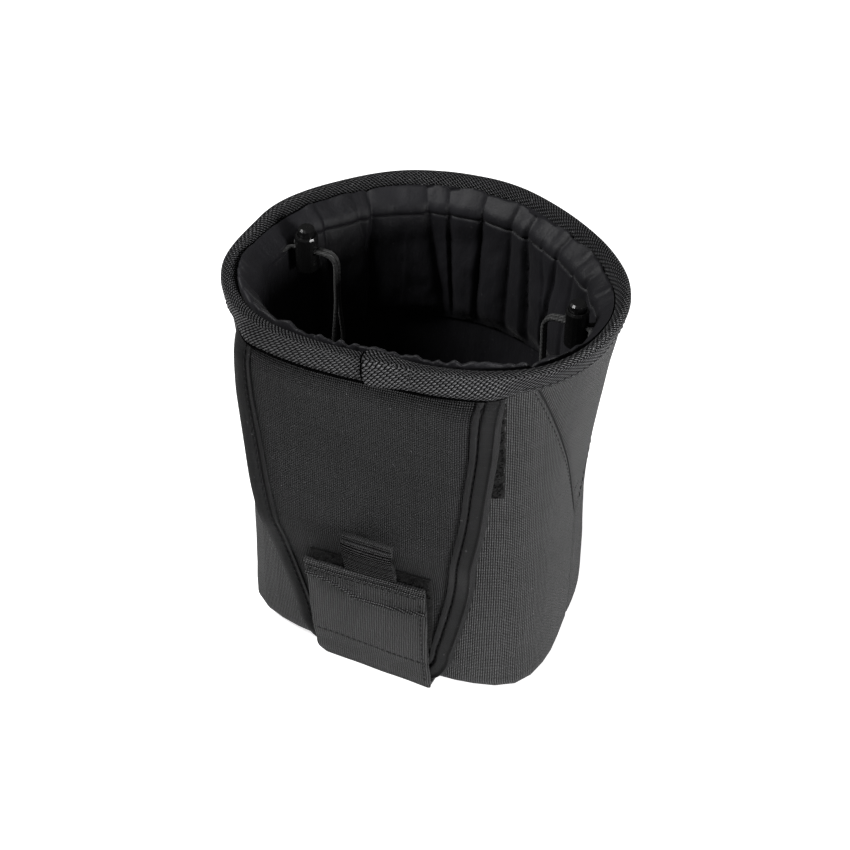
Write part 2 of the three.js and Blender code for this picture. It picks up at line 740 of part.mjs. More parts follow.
function flapCore() {
  const low = FLAP_BOTTOM + FLAP_CORE_MARGIN;
  const high = flapTop - FLAP_CORE_MARGIN;
  const rows = rowsBetween(FLAP_ROWS, low, high);
  const widthAt = (z) => flapHalfWidth(z) - FLAP_CORE_MARGIN;
  const front = (x, z) => flapFront(x, z) + FLAP_SHEET + FLAP_CORE_GAP;
  const back = (x, z) => flapBack(x, z) - FLAP_SHEET - FLAP_CORE_GAP;
  return frontSheet(rows, widthAt, spread(-1, 1, 6), front, back);
}

// Tape folded round the sides and the end of the flap
function flapBinding() {
  const sideRows = FLAP_ROWS.slice(1).reverse();
  const left = sideRows.map((z) => new THREE.Vector2(-flapHalfWidth(z), z));
  const end = spread(-1, 1, 4).map((share) => new THREE.Vector2(share * FLAP_END_HALF_WIDTH, FLAP_BOTTOM));
  const right = left.map((point) => new THREE.Vector2(-point.x, point.y)).reverse();
  const path = [...left, ...end, ...right];
  const sections = path.map((point, k) => {
    const before = path[Math.max(k - 1, 0)];
    const after = path[Math.min(k + 1, path.length - 1)];
    const inwards = after.clone().sub(before).normalize();
    inwards.set(-inwards.y, inwards.x);
    if (k === 0 || k === path.length - 1) inwards.set(k === 0 ? 1 : -1, 0);
    const at = (inset, depth) => {
      const place = point.clone().addScaledVector(inwards, inset);
      const over = point.clone().addScaledVector(inwards, Math.max(inset, 0));
      const front = flapFront(over.x, over.y);
      const back = flapBack(over.x, over.y);
      const y = depth < 0 ? front + depth : back + depth;
      return new THREE.Vector3(place.x, y, place.y);
    };
    const near = FLAP_TAPE_GAP;
    const far = FLAP_TAPE_GAP + FLAP_TAPE;
    return {
      outer: [at(FLAP_TAPE_WIDTH, far), at(-far, far), at(-far, -far), at(FLAP_TAPE_WIDTH, -far)],
      inner: [at(FLAP_TAPE_WIDTH, near), at(-near, near), at(-near, -near), at(FLAP_TAPE_WIDTH, -near)],
    };
  });
  return loft(sections, false);
}

function flapHookPatch() {
  const front = (x, z) => flapBack(x, z) + PANEL_GAP;
  const back = (x, z) => flapBack(x, z) + PANEL_GAP + HOOK_PATCH;
  const heights = rowsBetween(FLAP_ROWS, patchHigh - HOOK_PATCH_HEIGHT, patchHigh);
  return frontSheet(heights, () => HOOK_PATCH_HALF_WIDTH, spread(-1, 1, 4), front, back);
}

// Lock strap and what lies between it and the flap's face

const stripFront = (x, z) => flapFront(x, z) - GAP - FACE_STRIP;
const strapLow = STRAP_FLOOR_GAP;
const strapHigh = strapLow + STRAP_HEIGHT;

const strapHalfWidth = (z) => lerp(STRAP_HALF_WIDTH, STRAP_TOP_HALF_WIDTH, (z - strapLow) / STRAP_HEIGHT);

const STRAP_ROWS = [strapLow, ...rowsBetween(FLAP_ROWS, FLAP_BOTTOM, strapHigh)];

// The strap's back clears the flap's binding at the fold and the pull tab above it
const strapBack = onRows(STRAP_ROWS, (x, z) => {
  const seat = Math.max(z, FLAP_BOTTOM);
  const overTape = FLAP_TAPE_GAP + FLAP_TAPE + PANEL_GAP;
  const overTab = GAP + FACE_STRIP + GAP + TAB + GAP;
  const rise = smooth((z - FLAP_BOTTOM) / (FACE_STRIP_LOW - FLAP_BOTTOM));
  return flapFront(x, seat) - lerp(overTape, overTab, rise);
});

const STRAP_SHARES = spread(-1, 1, 6);

function lockStrap() {
  const front = (x, z) => strapBack(x, z) - STRAP;
  return frontSheet(STRAP_ROWS, strapHalfWidth, STRAP_SHARES, front, strapBack);
}

function strapSewnEnd() {
  const widthAt = () => STRAP_HALF_WIDTH;
  const front = (x) => strapBack(x, strapLow) + GAP;
  const back = (x) => front(x) + STRAP_FOLD_DEPTH;
  return frontSheet([strapLow, strapLow + STRAP], widthAt, STRAP_SHARES, front, back);
}

function faceStrip() {
  const back = (x, z) => flapFront(x, z) - GAP;
  const heights = rowsBetween(FLAP_ROWS, FACE_STRIP_LOW, FACE_STRIP_HIGH);
  return frontSheet(heights, () => STRAP_HALF_WIDTH, STRAP_SHARES, stripFront, back);
}

function strapPatch() {
  const back = (x, z) => strapBack(x, z) + GAP + STRAP_PATCH;
  const front = (x, z) => strapBack(x, z) + GAP;
  const heights = rowsBetween(STRAP_ROWS, STRAP_PATCH_LOW, STRAP_PATCH_HIGH);
  return frontSheet(heights, () => STRAP_HALF_WIDTH - 2, STRAP_SHARES, front, back);
}

function pullTab() {
  const back = (x, z) => stripFront(0, z) - GAP;
  const front = (x, z) => back(x, z) - TAB;
  const heights = rowsBetween(FLAP_ROWS, TAB_LOW, TAB_HIGH);
  return frontSheet(heights, () => TAB_HALF_WIDTH, spread(-1, 1, 2), front, back);
}

// Materials and assembly

const FINISHES = {
  shell_fabric: { color: 0x262728, roughness: 0.85 },
  binding_tape: { color: 0x1d1d1e, roughness: 0.75 },
  foam: { color: 0x3a3a3a, roughness: 0.95 },
  lining: { color: 0x2a2930, roughness: 0.55 },
  hook_and_loop: { color: 0x141414, roughness: 0.98 },
  webbing: { color: 0x202021, roughness: 0.7 },
  tag: { color: 0xd08a1e, roughness: 0.7 },
  cord: { color: 0x161617, roughness: 0.7 },
  plastic: { color: 0x0e0e0f, roughness: 0.3 },
  spring_steel: { color: 0x9a9a9a, roughness: 0.35, metalness: 1 },
};

function piece(name, finish, geometry) {
  const { color, roughness, metalness = 0 } = FINISHES[finish];
  const mesh = new THREE.Mesh(geometry, new THREE.MeshStandardMaterial({ color, roughness, metalness }));
  mesh.name = name;
  return mesh;
}

function lock(side, name) {
  const group = new THREE.Group();
  group.position.set(side * lockX, hemEnd.y, hemHeight);
  group.add(
    piece(`${name}_lock_barrel`, 'plastic', lockBarrel()),
    piece(`${name}_lock_plunger`, 'plastic', lockPlunger()),
    piece(`${name}_lock_spring`, 'spring_steel', lockSpring()),
  );
  return group;
}

const group = new THREE.Group();
group.add(
  piece('belt_side_wall', 'shell_fabric', sideWall(-1)),
  piece('far_side_wall', 'shell_fabric', sideWall(1)),
  piece('right_gusset', 'shell_fabric', gusset(1)),
  piece('left_gusset', 'shell_fabric', gusset(-1)),
  piece('base_panel', 'shell_fabric', basePanel()),
  piece('wall_foam', 'foam', wallRing(rowsFrom(foamStart), foamOuter, foamInner)),
  piece('base_foam', 'foam', baseFoam()),
  piece('wall_lining', 'lining', wallRing(rowsFrom(liningLow), liningOuter, liningInner)),
  piece('base_lining', 'lining', baseLining()),
  piece('rim_binding', 'binding_tape', rimBinding()),
  piece('wall_loop_panel', 'hook_and_loop', loopPanel()),
  piece('side_tag', 'tag', sideTag()),
  piece('dry_collar', 'lining', collar()),
  piece('collar_hem', 'lining', hemCasing()),
  piece('far_drawcord', 'cord', cordRun(1)),
  piece('belt_side_drawcord', 'cord', cordRun(-1)),
  piece('right_cord_tail', 'cord', cordTail(1)),
  piece('left_cord_tail', 'cord', cordTail(-1)),
  lock(1, 'right'),
  lock(-1, 'left'),
  piece('flap_outer_panel', 'shell_fabric', flapOuterPanel()),
  piece('flap_core', 'foam', flapCore()),
  piece('flap_inner_panel', 'shell_fabric', flapInnerPanel()),
  piece('flap_binding', 'webbing', flapBinding()),
  piece('flap_hook_patch', 'hook_and_loop', flapHookPatch()),
  piece('flap_face_strip', 'hook_and_loop', faceStrip()),
  piece('lock_strap', 'webbing', lockStrap()),
  piece('strap_sewn_end', 'webbing', strapSewnEnd()),
  piece('strap_patch', 'hook_and_loop', strapPatch()),
  piece('pull_tab', 'webbing', pullTab()),
);

export default group;
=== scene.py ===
"""Padded drawstring pouch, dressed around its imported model.

Shapes are worked out in millimetres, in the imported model's own frame, and put into Blender in metres.
X is the pouch's width, -Y is its belt side and Z is up from the surface that it stands on.
"""

import json
import math
import random
from functools import cache

import bmesh
import bpy
from bpy.props import FloatProperty, FloatVectorProperty, IntProperty, PointerProperty
from bpy.types import Operator, Panel, PropertyGroup
from mathutils import Matrix, Vector, noise

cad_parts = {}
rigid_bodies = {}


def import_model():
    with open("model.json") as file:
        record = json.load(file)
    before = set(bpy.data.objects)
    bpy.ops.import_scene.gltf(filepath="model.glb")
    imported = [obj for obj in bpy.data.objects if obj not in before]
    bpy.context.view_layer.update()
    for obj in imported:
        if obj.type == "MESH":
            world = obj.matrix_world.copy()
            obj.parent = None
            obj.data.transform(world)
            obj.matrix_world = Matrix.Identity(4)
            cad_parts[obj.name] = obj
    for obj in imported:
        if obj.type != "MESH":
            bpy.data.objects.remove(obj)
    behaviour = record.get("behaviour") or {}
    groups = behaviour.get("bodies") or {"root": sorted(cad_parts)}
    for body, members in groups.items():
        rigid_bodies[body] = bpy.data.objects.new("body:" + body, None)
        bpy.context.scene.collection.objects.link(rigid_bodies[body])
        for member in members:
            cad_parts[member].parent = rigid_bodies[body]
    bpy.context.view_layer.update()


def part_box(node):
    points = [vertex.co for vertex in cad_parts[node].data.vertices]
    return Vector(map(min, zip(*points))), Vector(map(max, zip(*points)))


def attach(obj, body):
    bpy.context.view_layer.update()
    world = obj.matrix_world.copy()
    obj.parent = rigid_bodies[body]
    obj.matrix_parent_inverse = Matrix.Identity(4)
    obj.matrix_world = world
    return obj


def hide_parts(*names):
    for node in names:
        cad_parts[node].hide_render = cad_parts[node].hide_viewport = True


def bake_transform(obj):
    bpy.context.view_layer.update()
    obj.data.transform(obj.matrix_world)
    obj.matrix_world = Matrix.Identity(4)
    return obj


bl_info = {
    "name": "Padded Drawstring Pouch",
    "version": (1, 0, 0),
    "blender": (4, 5, 0),
    "location": "View3D > Sidebar > Pouch",
    "description": "Dresses the packed pouch in cloth, tape, webbing and stitches",
    "category": "Object",
}

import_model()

MM = 0.001
TAU = 2 * math.pi
WHITE = (1.0, 1.0, 1.0, 1.0)

# Body of the pouch: the outer face of its wall, base first and mouth second
BODY_HEIGHT = 160.0
HALF_WIDTHS = (63.0, 75.0)
FRONTS = (54.0, 61.8)
BACKS = (54.0, 63.8)
WIDEST_Y = (-8.0, 1.0)
FRONT_POWERS = (4.2, 2.6)
BACK_POWERS = (2.6, 2.0)
FLARE_POWER = 3.5
BOTTOM_ROUND = 8.0

# Side gussets
GUSSET_APEX = 62.0
GUSSET_Y = 1.0
GUSSET_HALF_MOUTH = 44.0

# Layers of the wall, as insets from its outer face
WALL_CLOTH = 1.0
FOAM_OUTER = 2.0
FOAM_INNER = 5.2
LINING_OUTER = 5.3
LINING_INNER = 5.9
RIM_BAND = 18.0
RIM_THINNING = 2.5

# Belt flap
FLAP_LOW = 4.2
FLAP_HIGH = 152.7
FLAP_CORNER = 18.0
FLAP_END_HALF_WIDTH = 20.0

# Hem of the collar, its drawcord and the cord tails
HEM_HEIGHT = 150.0
HEM_END = (64.443, 5.509)
HEM_INSET = 7.9
HOLE_DEGREES = 4.5
CORD_RADIUS = 0.9
STRAND = 1.05
CORD_BEND = 4.0
LOCK_X = 56.943
TAIL_BEND = 4.8
TAIL_START = 48.743
TAIL_X = 43.943
TAIL_DROP = 45.0
LOOP_HALF_WIDTH = 4.0

# The collar's cloth, from its lower edge to the casing
COLLAR_LOW = 100.3
COLLAR_HIGH = 148.6
COLLAR_THICKNESS = 0.45

# Strap that folds up over the flap's end
STRAP_LOW = 0.6
STRAP_HIGH = 56.2
TAB_RIB = 1.42

# Middle of the base
MIDDLE_Y = -3.0

# Distances from the middle that turn millimetres round the pouch into angles
SEAM_RADIUS = 68.0
LAP_RADIUS = 64.0
CASING_RADIUS = 62.0
TAG_RADIUS = 70.0


# Numbers and curves


def mix(a, b, t):
    return a + (b - a) * t


def ease(t):
    t = min(max(t, 0.0), 1.0)
    return t * t * (3 - 2 * t)


def spread(a, b, count):
    return [mix(a, b, k / (count - 1)) for k in range(count)]


def bell(distance, width):
    return math.exp(-((distance / width) ** 2))


def ripple(x, y, z, scale):
    """Smooth noise from -1 to 1; scale is the size of its lumps in millimetres."""
    return noise.noise(Vector((x, y, z)) / scale)


def round_noise(angle, reach, height):
    """Smooth noise round the pouch; a larger reach gives shorter waves."""
    return noise.noise(Vector((math.cos(angle) * reach, math.sin(angle) * reach, height)))


def turns(count):
    """Even angles round a full turn."""
    return [TAU * k / count for k in range(count)]


def smooth_curve(table):
    """A smooth line through (place, value) pairs that never overshoots them."""
    xs = [p[0] for p in table]
    ys = [p[1] for p in table]
    steps = [(ys[k + 1] - ys[k]) / (xs[k + 1] - xs[k]) for k in range(len(xs) - 1)]
    slopes = [steps[0]]
    for before, after in zip(steps, steps[1:]):
        slopes.append(0.0 if before * after <= 0 else 2 * before * after / (before + after))
    slopes.append(steps[-1])

    def value(x):
        if x <= xs[0]:
            return ys[0]
        if x >= xs[-1]:
            return ys[-1]
        k = max(i for i in range(len(xs) - 1) if xs[i] <= x)
        width = xs[k + 1] - xs[k]
        t = (x - xs[k]) / width
        start = (1 + 2 * t) * (1 - t) ** 2 * ys[k] + t * (1 - t) ** 2 * width * slopes[k]
        end = t * t * (3 - 2 * t) * ys[k + 1] - t * t * (1 - t) * width * slopes[k + 1]
        return start + end

    return value


# Shape of the body


# How far the mouth and the foot stand out of true, by the angle round the pouch in degrees
MOUTH_PUSH = smooth_curve(
    [(-180, 0.8), (-160, 2.4), (-137, 2.9), (-112, 1.0), (-90, -1.6), (-70, -3.6), (-45, -3.4)]
    + [(-30, -1.7), (0, 1.0), (20, -0.3), (43, -1.8), (62, -0.7), (94, 2.9), (120, 2.2)]
    + [(150, -0.1), (180, 0.8)]
)
FOOT_PUSH = smooth_curve(
    [(-180, 3.6), (-165, 2.6), (-150, 1.6), (-134, 0.0), (-46, 0.0), (-28, 2.2), (-12, 1.8)]
    + [(2, 0.0), (15, -1.0), (40, 0.0), (120, 0.0), (150, 2.4), (166, 3.6), (180, 3.6)]
)


def body_section(z, out=0.0):
    """Half width, widest y, and the depth and power of the front and of the back, at a height."""
    share = min(max(z / BODY_HEIGHT, 0.0), 1.01)
    flare = share**FLARE_POWER
    tuck = 0.0
    if z < BOTTOM_ROUND:
        rise = BOTTOM_ROUND - max(z, 0.0)
        tuck = BOTTOM_ROUND - math.sqrt(BOTTOM_ROUND**2 - rise**2)
    widest = mix(*WIDEST_Y, share)
    grow = out - tuck
    half = mix(*HALF_WIDTHS, flare) + grow
    front = mix(*FRONTS, flare) + widest + grow
    back = mix(*BACKS, flare) - widest + grow
    return half, widest, (front, mix(*FRONT_POWERS, share)), (back, mix(*BACK_POWERS, share))


def slump(angle, z):
    """How far the soft wall stands out of true at an angle, blended from the foot to the mouth."""
    degrees = (math.degrees(angle) + 180.0) % 360.0 - 180.0
    rise = ease(z / BODY_HEIGHT)
    return mix(FOOT_PUSH(degrees), MOUTH_PUSH(degrees), rise)


def body_point(angle, z, out=0.0):
    half, widest, front, back = body_section(z, out)
    c, s = math.cos(angle), math.sin(angle)
    depth, power = front if s < 0 else back
    radius = ((abs(c) / half) ** power + (abs(s) / depth) ** power) ** (-1 / power) + slump(angle, z)
    return (radius * c, widest + radius * s, z)


def front_y(x, z, out=0.0):
    """Depth of the wall's belt side, found by stepping back along the push that moved it there."""
    half, widest, (depth, power), _ = body_section(z, out)
    plain = x
    for _ in range(3):
        share = min(abs(plain) / half, 0.999)
        down = depth * (1 - share**power) ** (1 / power)
        reach = math.hypot(plain, down)
        push = slump(math.atan2(-down, plain), z)
        plain = x - push * plain / reach
    return widest - down * (1 + push / reach)


def angle_at(y, z):
    """The angle at which the wall's right half has that y."""
    low, high = -math.pi / 2, math.pi / 2
    for _ in range(40):
        middle = (low + high) / 2
        if body_point(middle, z)[1] < y:
            low = middle
        else:
            high = middle
    return low


def seam_y(z):
    return max(0.0, (z - GUSSET_APEX) / (BODY_HEIGHT - GUSSET_APEX)) * GUSSET_HALF_MOUTH


def wall_swell(angle, z):
    """How far the padded wall stands proud of its plain shape, in soft lumps."""
    x, y, _ = body_point(angle, z)
    soft = ripple(x, y, z * 0.7, 34) * 0.9 + ripple(x + 50, y, z, 15) * 0.28
    near_rim = ease((BODY_HEIGHT - z) / 14)
    near_floor = ease(z / 10)
    return soft * near_rim * near_floor


def rim_lift(angle):
    """The rim isn't quite level."""
    return 0.55 * round_noise(angle, 2.1, 3.7)


def rim_push(angle):
    return 0.7 * round_noise(angle, 2.6, 9.1)


# Meshes


class Skin:
    """Collects points, faces and cloth coordinates in millimetres for one mesh."""

    def __init__(self):
        self.points = []
        self.faces = []
        self.cloth = []

    def grid(self, rows, cloth, closed=False):
        """Rows of points joined by faces; a closed row has one cloth pair more than points."""
        start = len(self.points)
        width = len(rows[0])
        for row in rows:
            self.points.extend(row)
        for j in range(len(rows) - 1):
            for i in range(width if closed else width - 1):
                far = (i + 1) % width
                corners = [(j, i, i), (j, far, i + 1), (j + 1, far, i + 1), (j + 1, i, i)]
                self.faces.append([start + row * width + column for row, column, _ in corners])
                self.cloth.append([cloth[row][place] for row, _, place in corners])
        return [[start + j * width + i for i in range(width)] for j in range(len(rows))]

    def bridge(self, first, second, cloth):
        """Faces between two closed, equally long lines of point numbers."""
        count = len(first)
        for k in range(count):
            far = (k + 1) % count
            self.faces.append([first[k], first[far], second[far], second[k]])
            self.cloth.append([cloth[k], cloth[far], cloth[far], cloth[k]])

    def cap(self, ring, middle, cloth):
        start = len(self.points)
        self.points.append(middle)
        for k in range(len(ring)):
            far = (k + 1) % len(ring)
            self.faces.append([ring[k], ring[far], start])
            self.cloth.append([cloth[k], cloth[far], (0.0, 0.0)])

    def tube(self, path, radius, sides):
        """A rounded thread or cord along a path; radius is a number or one for each point."""
        rings = []
        places = [Vector(p) for p in path]
        radii = radius if isinstance(radius, list) else [radius] * len(places)
        across = None
        for k, place in enumerate(places):
            ahead = places[min(k + 1, len(places) - 1)] - places[max(k - 1, 0)]
            ahead.normalize()
            if across is None:
                across = ahead.orthogonal()
            across = (across - ahead * across.dot(ahead)).normalized()
            up = ahead.cross(across)
            ring = []
            for side in range(sides):
                turn = TAU * side / sides
                ring.append(tuple(place + (across * math.cos(turn) + up * math.sin(turn)) * radii[k]))
            rings.append(ring)
        lengths = [0.0]
        for a, b in zip(places, places[1:]):
            lengths.append(lengths[-1] + (b - a).length)
        wide = TAU * max(radii) / sides
        cloth = [[(k * wide, run) for k in range(sides + 1)] for run in lengths]
        rows = self.grid(rings, cloth, closed=True)
        self.cap(rows[0], tuple(places[0]), cloth[0])
        self.cap(rows[-1], tuple(places[-1]), cloth[-1])

    def plate(self, front, back, cloth):
        """A closed sheet between two equal grids of points."""
        top = self.grid(front, cloth)
        under = self.grid(back, cloth)

        def border(numbers):
            right = [row[-1] for row in numbers[1:-1]]
            left = [row[0] for row in numbers[1:-1]]
            return numbers[0] + right + numbers[-1][::-1] + left[::-1]

        self.bridge(border(top), border(under), border(cloth))

    def leaf(self, rows):
        """A closed sheet from rows of places, each with its front, its back and its cloth pair."""
        grids = [[list(line) for line in zip(*row)] for row in rows]
        front, back, cloth = zip(*grids)
        self.plate(front, back, cloth)
        return front

    def drum(self, rings, low, high):
        """Closed level rings with a flat lid at each end."""
        cloth = [[(x, y) for x, y, _ in ring + ring[:1]] for ring in rings]
        rows = self.grid(rings, cloth, closed=True)
        self.cap(rows[0], (0.0, MIDDLE_Y, low), cloth[0])
        self.cap(rows[-1], (0.0, MIDDLE_Y, high), cloth[-1])

    def build(self, name, finish, body=None, replaces=(), slot=None, sharp=50.0):
        mesh = bpy.data.meshes.new(name)
        mesh.from_pydata([(x * MM, y * MM, z * MM) for x, y, z in self.points], [], self.faces)
        layer = mesh.uv_layers.new(name="cloth")
        layer.data.foreach_set("uv", [c for face in self.cloth for pair in face for c in pair])
        work = bmesh.new()
        work.from_mesh(mesh)
        bmesh.ops.remove_doubles(work, verts=work.verts, dist=1e-7)
        bmesh.ops.recalc_face_normals(work, faces=work.faces)
        work.to_mesh(mesh)
        work.free()
        mesh.shade_smooth()
        mesh.set_sharp_from_angle(angle=math.radians(sharp))
        mesh.materials.append(finish)
        piece = bpy.data.objects.new(name, mesh)
        bpy.context.scene.collection.objects.link(piece)
        return settle(piece, body, replaces)


def settle(piece, body, replaces=()):
    """Says what a piece moves with and what it stands for."""
    if body:
        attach(piece, body)
    if replaces:
        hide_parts(*replaces)
    return piece


def lengths_along(points):
    runs = [0.0]
    for a, b in zip(points, points[1:]):
        runs.append(runs[-1] + math.dist(a, b))
    return runs


def level_cloth(rows):
    """Cloth places for closed level rows: the run round each one, and its height."""
    return [[(run, row[0][2]) for run in lengths_along(row + row[:1])] for row in rows]


def resample(line, step):
    """Points at even steps along a line, by straight interpolation."""
    runs = lengths_along(line)
    count = max(2, round(runs[-1] / step) + 1)
    result = []
    k = 0
    for place in spread(0.0, runs[-1], count):
        while k < len(runs) - 2 and runs[k + 1] < place:
            k += 1
        t = (place - runs[k]) / max(runs[k + 1] - runs[k], 1e-9)
        result.append(tuple(mix(a, b, t) for a, b in zip(line[k], line[k + 1])))
    return result


def through(points, steps):
    """A rounded line through points; its direction at each goes by the distances to its neighbours."""
    places = [Vector(p) for p in points]
    result = []
    for k, (a, b) in enumerate(zip(places, places[1:])):
        before = places[k - 1] if k else a - (b - a)
        after = places[k + 2] if k + 2 < len(places) else b + (b - a)
        length = (b - a).length
        near = (b - before) * length / (length + (a - before).length)
        far = (after - a) * length / (length + (after - b).length)
        for step in range(steps):
            t = step / steps
            start = (1 + 2 * t) * (1 - t) ** 2 * a + t * (1 - t) ** 2 * near
            result.append(tuple(start + t * t * (3 - 2 * t) * b - t * t * (1 - t) * far))
    result.append(tuple(places[-1]))
    return result


def outward(place):
    """The way that a stitch on the wall stands."""
    return Vector((place.x, place.y, 0.0)).normalized()


def ahead(_):
    """The way that a stitch on the flap or the strap stands."""
    return (0.0, -1.0, 0.0)


# One stitch: the share of its length, and the height and thickness there in thread radii
STITCH = ((0, -1.2, 0.6), (0.16, 0.4, 0.95), (0.5, 0.9, 1), (0.84, 0.4, 0.95), (1, -1.2, 0.6))


def sew(skin, path, direction, share, lift, pitch=None, thickness=1.0):
    """Rounded thread dashes along a path; direction gives the way that a stitch stands at a point."""
    sizes = bpy.context.scene.pouch_sizes
    pitch = pitch or sizes.stitch_pitch / MM
    radius = thickness * sizes.thread_radius / MM
    runs = lengths_along(path)

    def at(place):
        k = max(i for i in range(len(runs) - 1) if runs[i] <= place + 1e-9)
        t = (place - runs[k]) / max(runs[k + 1] - runs[k], 1e-9)
        return Vector(path[k]).lerp(Vector(path[k + 1]), t)

    for n in range(int(runs[-1] / pitch)):
        start = n * pitch + pitch * (1 - share) / 2
        dash = []
        for t, height, _ in STITCH:
            place = at(min(start + t * pitch * share, runs[-1]))
            dash.append(tuple(place + Vector(direction(place)) * (lift + height * radius)))
        skin.tube(dash, [radius * size for _, _, size in STITCH], sides=5)


# Materials


class Wiring:
    """Shorthand for the nodes of one material or group."""

    def __init__(self, tree):
        self.tree = tree

    def add(self, kind, **settings):
        node = self.tree.nodes.new(kind)
        for key, value in settings.items():
            setattr(node, key, value)
        return node

    def feed(self, socket, value):
        if isinstance(value, bpy.types.NodeSocket):
            self.tree.links.new(value, socket)
        else:
            socket.default_value = value

    def through(self, node, *values):
        """Feeds a node's first inputs and gives its output."""
        for socket, value in zip(node.inputs, values):
            self.feed(socket, value)
        return node.outputs[0]

    def math(self, operation, *values):
        return self.through(self.add("ShaderNodeMath", operation=operation), *values)

    def times(self, a, b):
        return self.math("MULTIPLY", a, b)

    def plus(self, a, b):
        return self.math("ADD", a, b)

    def arch(self, value):
        """Up from 0 to 1 and back again, once in each unit."""
        return self.math("SINE", self.times(self.math("FRACT", value), math.pi))

    def ramp(self, value, low, high):
        node = self.add("ShaderNodeMapRange", interpolation_type="SMOOTHSTEP")
        return self.through(node, value, low, high, 0.0, 1.0)

    def blend(self, factor, a, b):
        """A colour between two."""
        node = self.add("ShaderNodeMix", data_type="RGBA")
        for socket, value in (("Factor", factor), (6, a), (7, b)):
            self.feed(node.inputs[socket], value)
        return node.outputs[2]

    def mixed(self, factor, a, b):
        """A number between two."""
        node = self.add("ShaderNodeMix", data_type="FLOAT")
        for socket, value in (("Factor", factor), (2, a), (3, b)):
            self.feed(node.inputs[socket], value)
        return node.outputs[0]

    def scaled(self, colour, factor):
        node = self.add("ShaderNodeVectorMath", operation="SCALE")
        self.feed(node.inputs[0], colour)
        self.feed(node.inputs["Scale"], factor)
        return node.outputs[0]

    def cloud(self, vector, scale, detail, roughness):
        node = self.add("ShaderNodeTexNoise")
        labels = ("Vector", "Scale", "Detail", "Roughness")
        for label, value in zip(labels, (vector, scale, detail, roughness)):
            self.feed(node.inputs[label], value)
        return node.outputs["Fac"]

    def cloth(self):
        return self.add("ShaderNodeUVMap", uv_map="cloth").outputs[0]

    def place(self):
        return self.add("ShaderNodeTexCoord").outputs["Object"]

    def split(self, vector):
        parts = self.add("ShaderNodeSeparateXYZ")
        self.feed(parts.inputs[0], vector)
        return parts.outputs

    def turned(self, vector, **settings):
        """The vector, turned or stretched."""
        node = self.add("ShaderNodeMapping")
        self.feed(node.inputs["Vector"], vector)
        for label, value in settings.items():
            node.inputs[label].default_value = value
        return node.outputs[0]

    def bump(self, height, depth, strength=1.0):
        """The shader's normal for a height; depth is in metres."""
        node = self.add("ShaderNodeBump")
        for label, value in (("Strength", strength), ("Distance", depth), ("Height", height)):
            self.feed(node.inputs[label], value)
        return node.outputs[0]

    def for_camera(self, elsewhere, seen):
        """One number for what the camera sees and another for the light on everything else."""
        ray = self.add("ShaderNodeLightPath").outputs["Is Camera Ray"]
        return self.mixed(ray, elsewhere, seen)

    def group(self, tree, **values):
        node = self.add("ShaderNodeGroup", node_tree=tree)
        for label, value in values.items():
            self.feed(node.inputs[label.replace("_", " ")], value)
        return node.outputs


def start_group(name, inputs, outputs):
    """A new group; inputs gives each label its default, or None for a vector."""
    tree = bpy.data.node_groups.new(name, "ShaderNodeTree")
    kinds = {type(None): "NodeSocketVector", tuple: "NodeSocketColor", float: "NodeSocketFloat"}
    for label, default in inputs.items():
        socket = tree.interface.new_socket(label, in_out="INPUT", socket_type=kinds[type(default)])
        if default is not None:
            socket.default_value = default
    for label in outputs:
        kind = "NodeSocketColor" if label == "Colour" else "NodeSocketFloat"
        tree.interface.new_socket(label, in_out="OUTPUT", socket_type=kind)
    wires = Wiring(tree)
    return wires, wires.add("NodeGroupInput").outputs, wires.add("NodeGroupOutput").inputs


@cache
def plain_weave():
    """Threads over and under each other; the pitches are in millimetres of cloth."""
    inputs = {"Cloth": None, "Pitch Across": 0.8, "Pitch Along": 0.8}
    wires, given, out = start_group("Plain weave", inputs, ("Height", "Thread", "Tint"))
    parts = wires.split(given["Cloth"])
    u = wires.math("DIVIDE", parts[0], given["Pitch Across"])
    v = wires.math("DIVIDE", parts[1], given["Pitch Along"])
    column = wires.math("FLOOR", u)
    row = wires.math("FLOOR", v)
    parity = wires.math("ABSOLUTE", wires.math("MODULO", wires.plus(column, row), 2.0))
    bow_u, bow_v = wires.arch(u), wires.arch(v)
    warp = wires.times(wires.math("POWER", bow_u, 0.7), wires.mixed(0.55, 1.0, bow_v))
    weft = wires.times(wires.math("POWER", bow_v, 0.7), wires.mixed(0.55, 1.0, bow_u))
    height = wires.mixed(parity, warp, weft)
    wires.feed(out["Height"], height)
    wires.feed(out["Thread"], wires.ramp(height, 0.15, 0.95))
    # Each thread has its own shade: a warp thread goes by its column and a weft thread by its row
    line = wires.add("ShaderNodeCombineXYZ")
    own = wires.through(line, wires.mixed(parity, column, 71.0), wires.mixed(parity, 13.0, row))
    thread = wires.add("ShaderNodeTexWhiteNoise", noise_dimensions="2D")
    wires.feed(thread.inputs["Vector"], own)
    wires.feed(out["Tint"], thread.outputs["Value"])
    return wires.tree


@cache
def herringbone_weave():
    """Slanting rows of threads, turned about the line where the cloth's second number is 0."""
    inputs = {"Cloth": None, "Row Pitch": 1.5, "Slant": 1.1, "Thread Pitch": 0.75}
    wires, given, out = start_group("Herringbone weave", inputs, ("Height", "Thread"))
    parts = wires.split(given["Cloth"])
    away = wires.math("ABSOLUTE", parts[1])
    slanted = wires.plus(parts[0], wires.times(away, given["Slant"]))
    u = wires.math("DIVIDE", slanted, given["Row Pitch"])
    along = wires.math("DIVIDE", away, given["Thread Pitch"])
    beads = wires.arch(wires.plus(along, wires.times(wires.math("FLOOR", u), 0.5)))
    height = wires.times(wires.math("POWER", wires.arch(u), 0.6), wires.mixed(0.5, 1.0, beads))
    wires.feed(out["Height"], height)
    wires.feed(out["Thread"], wires.ramp(height, 0.3, 1.0))
    return wires.tree


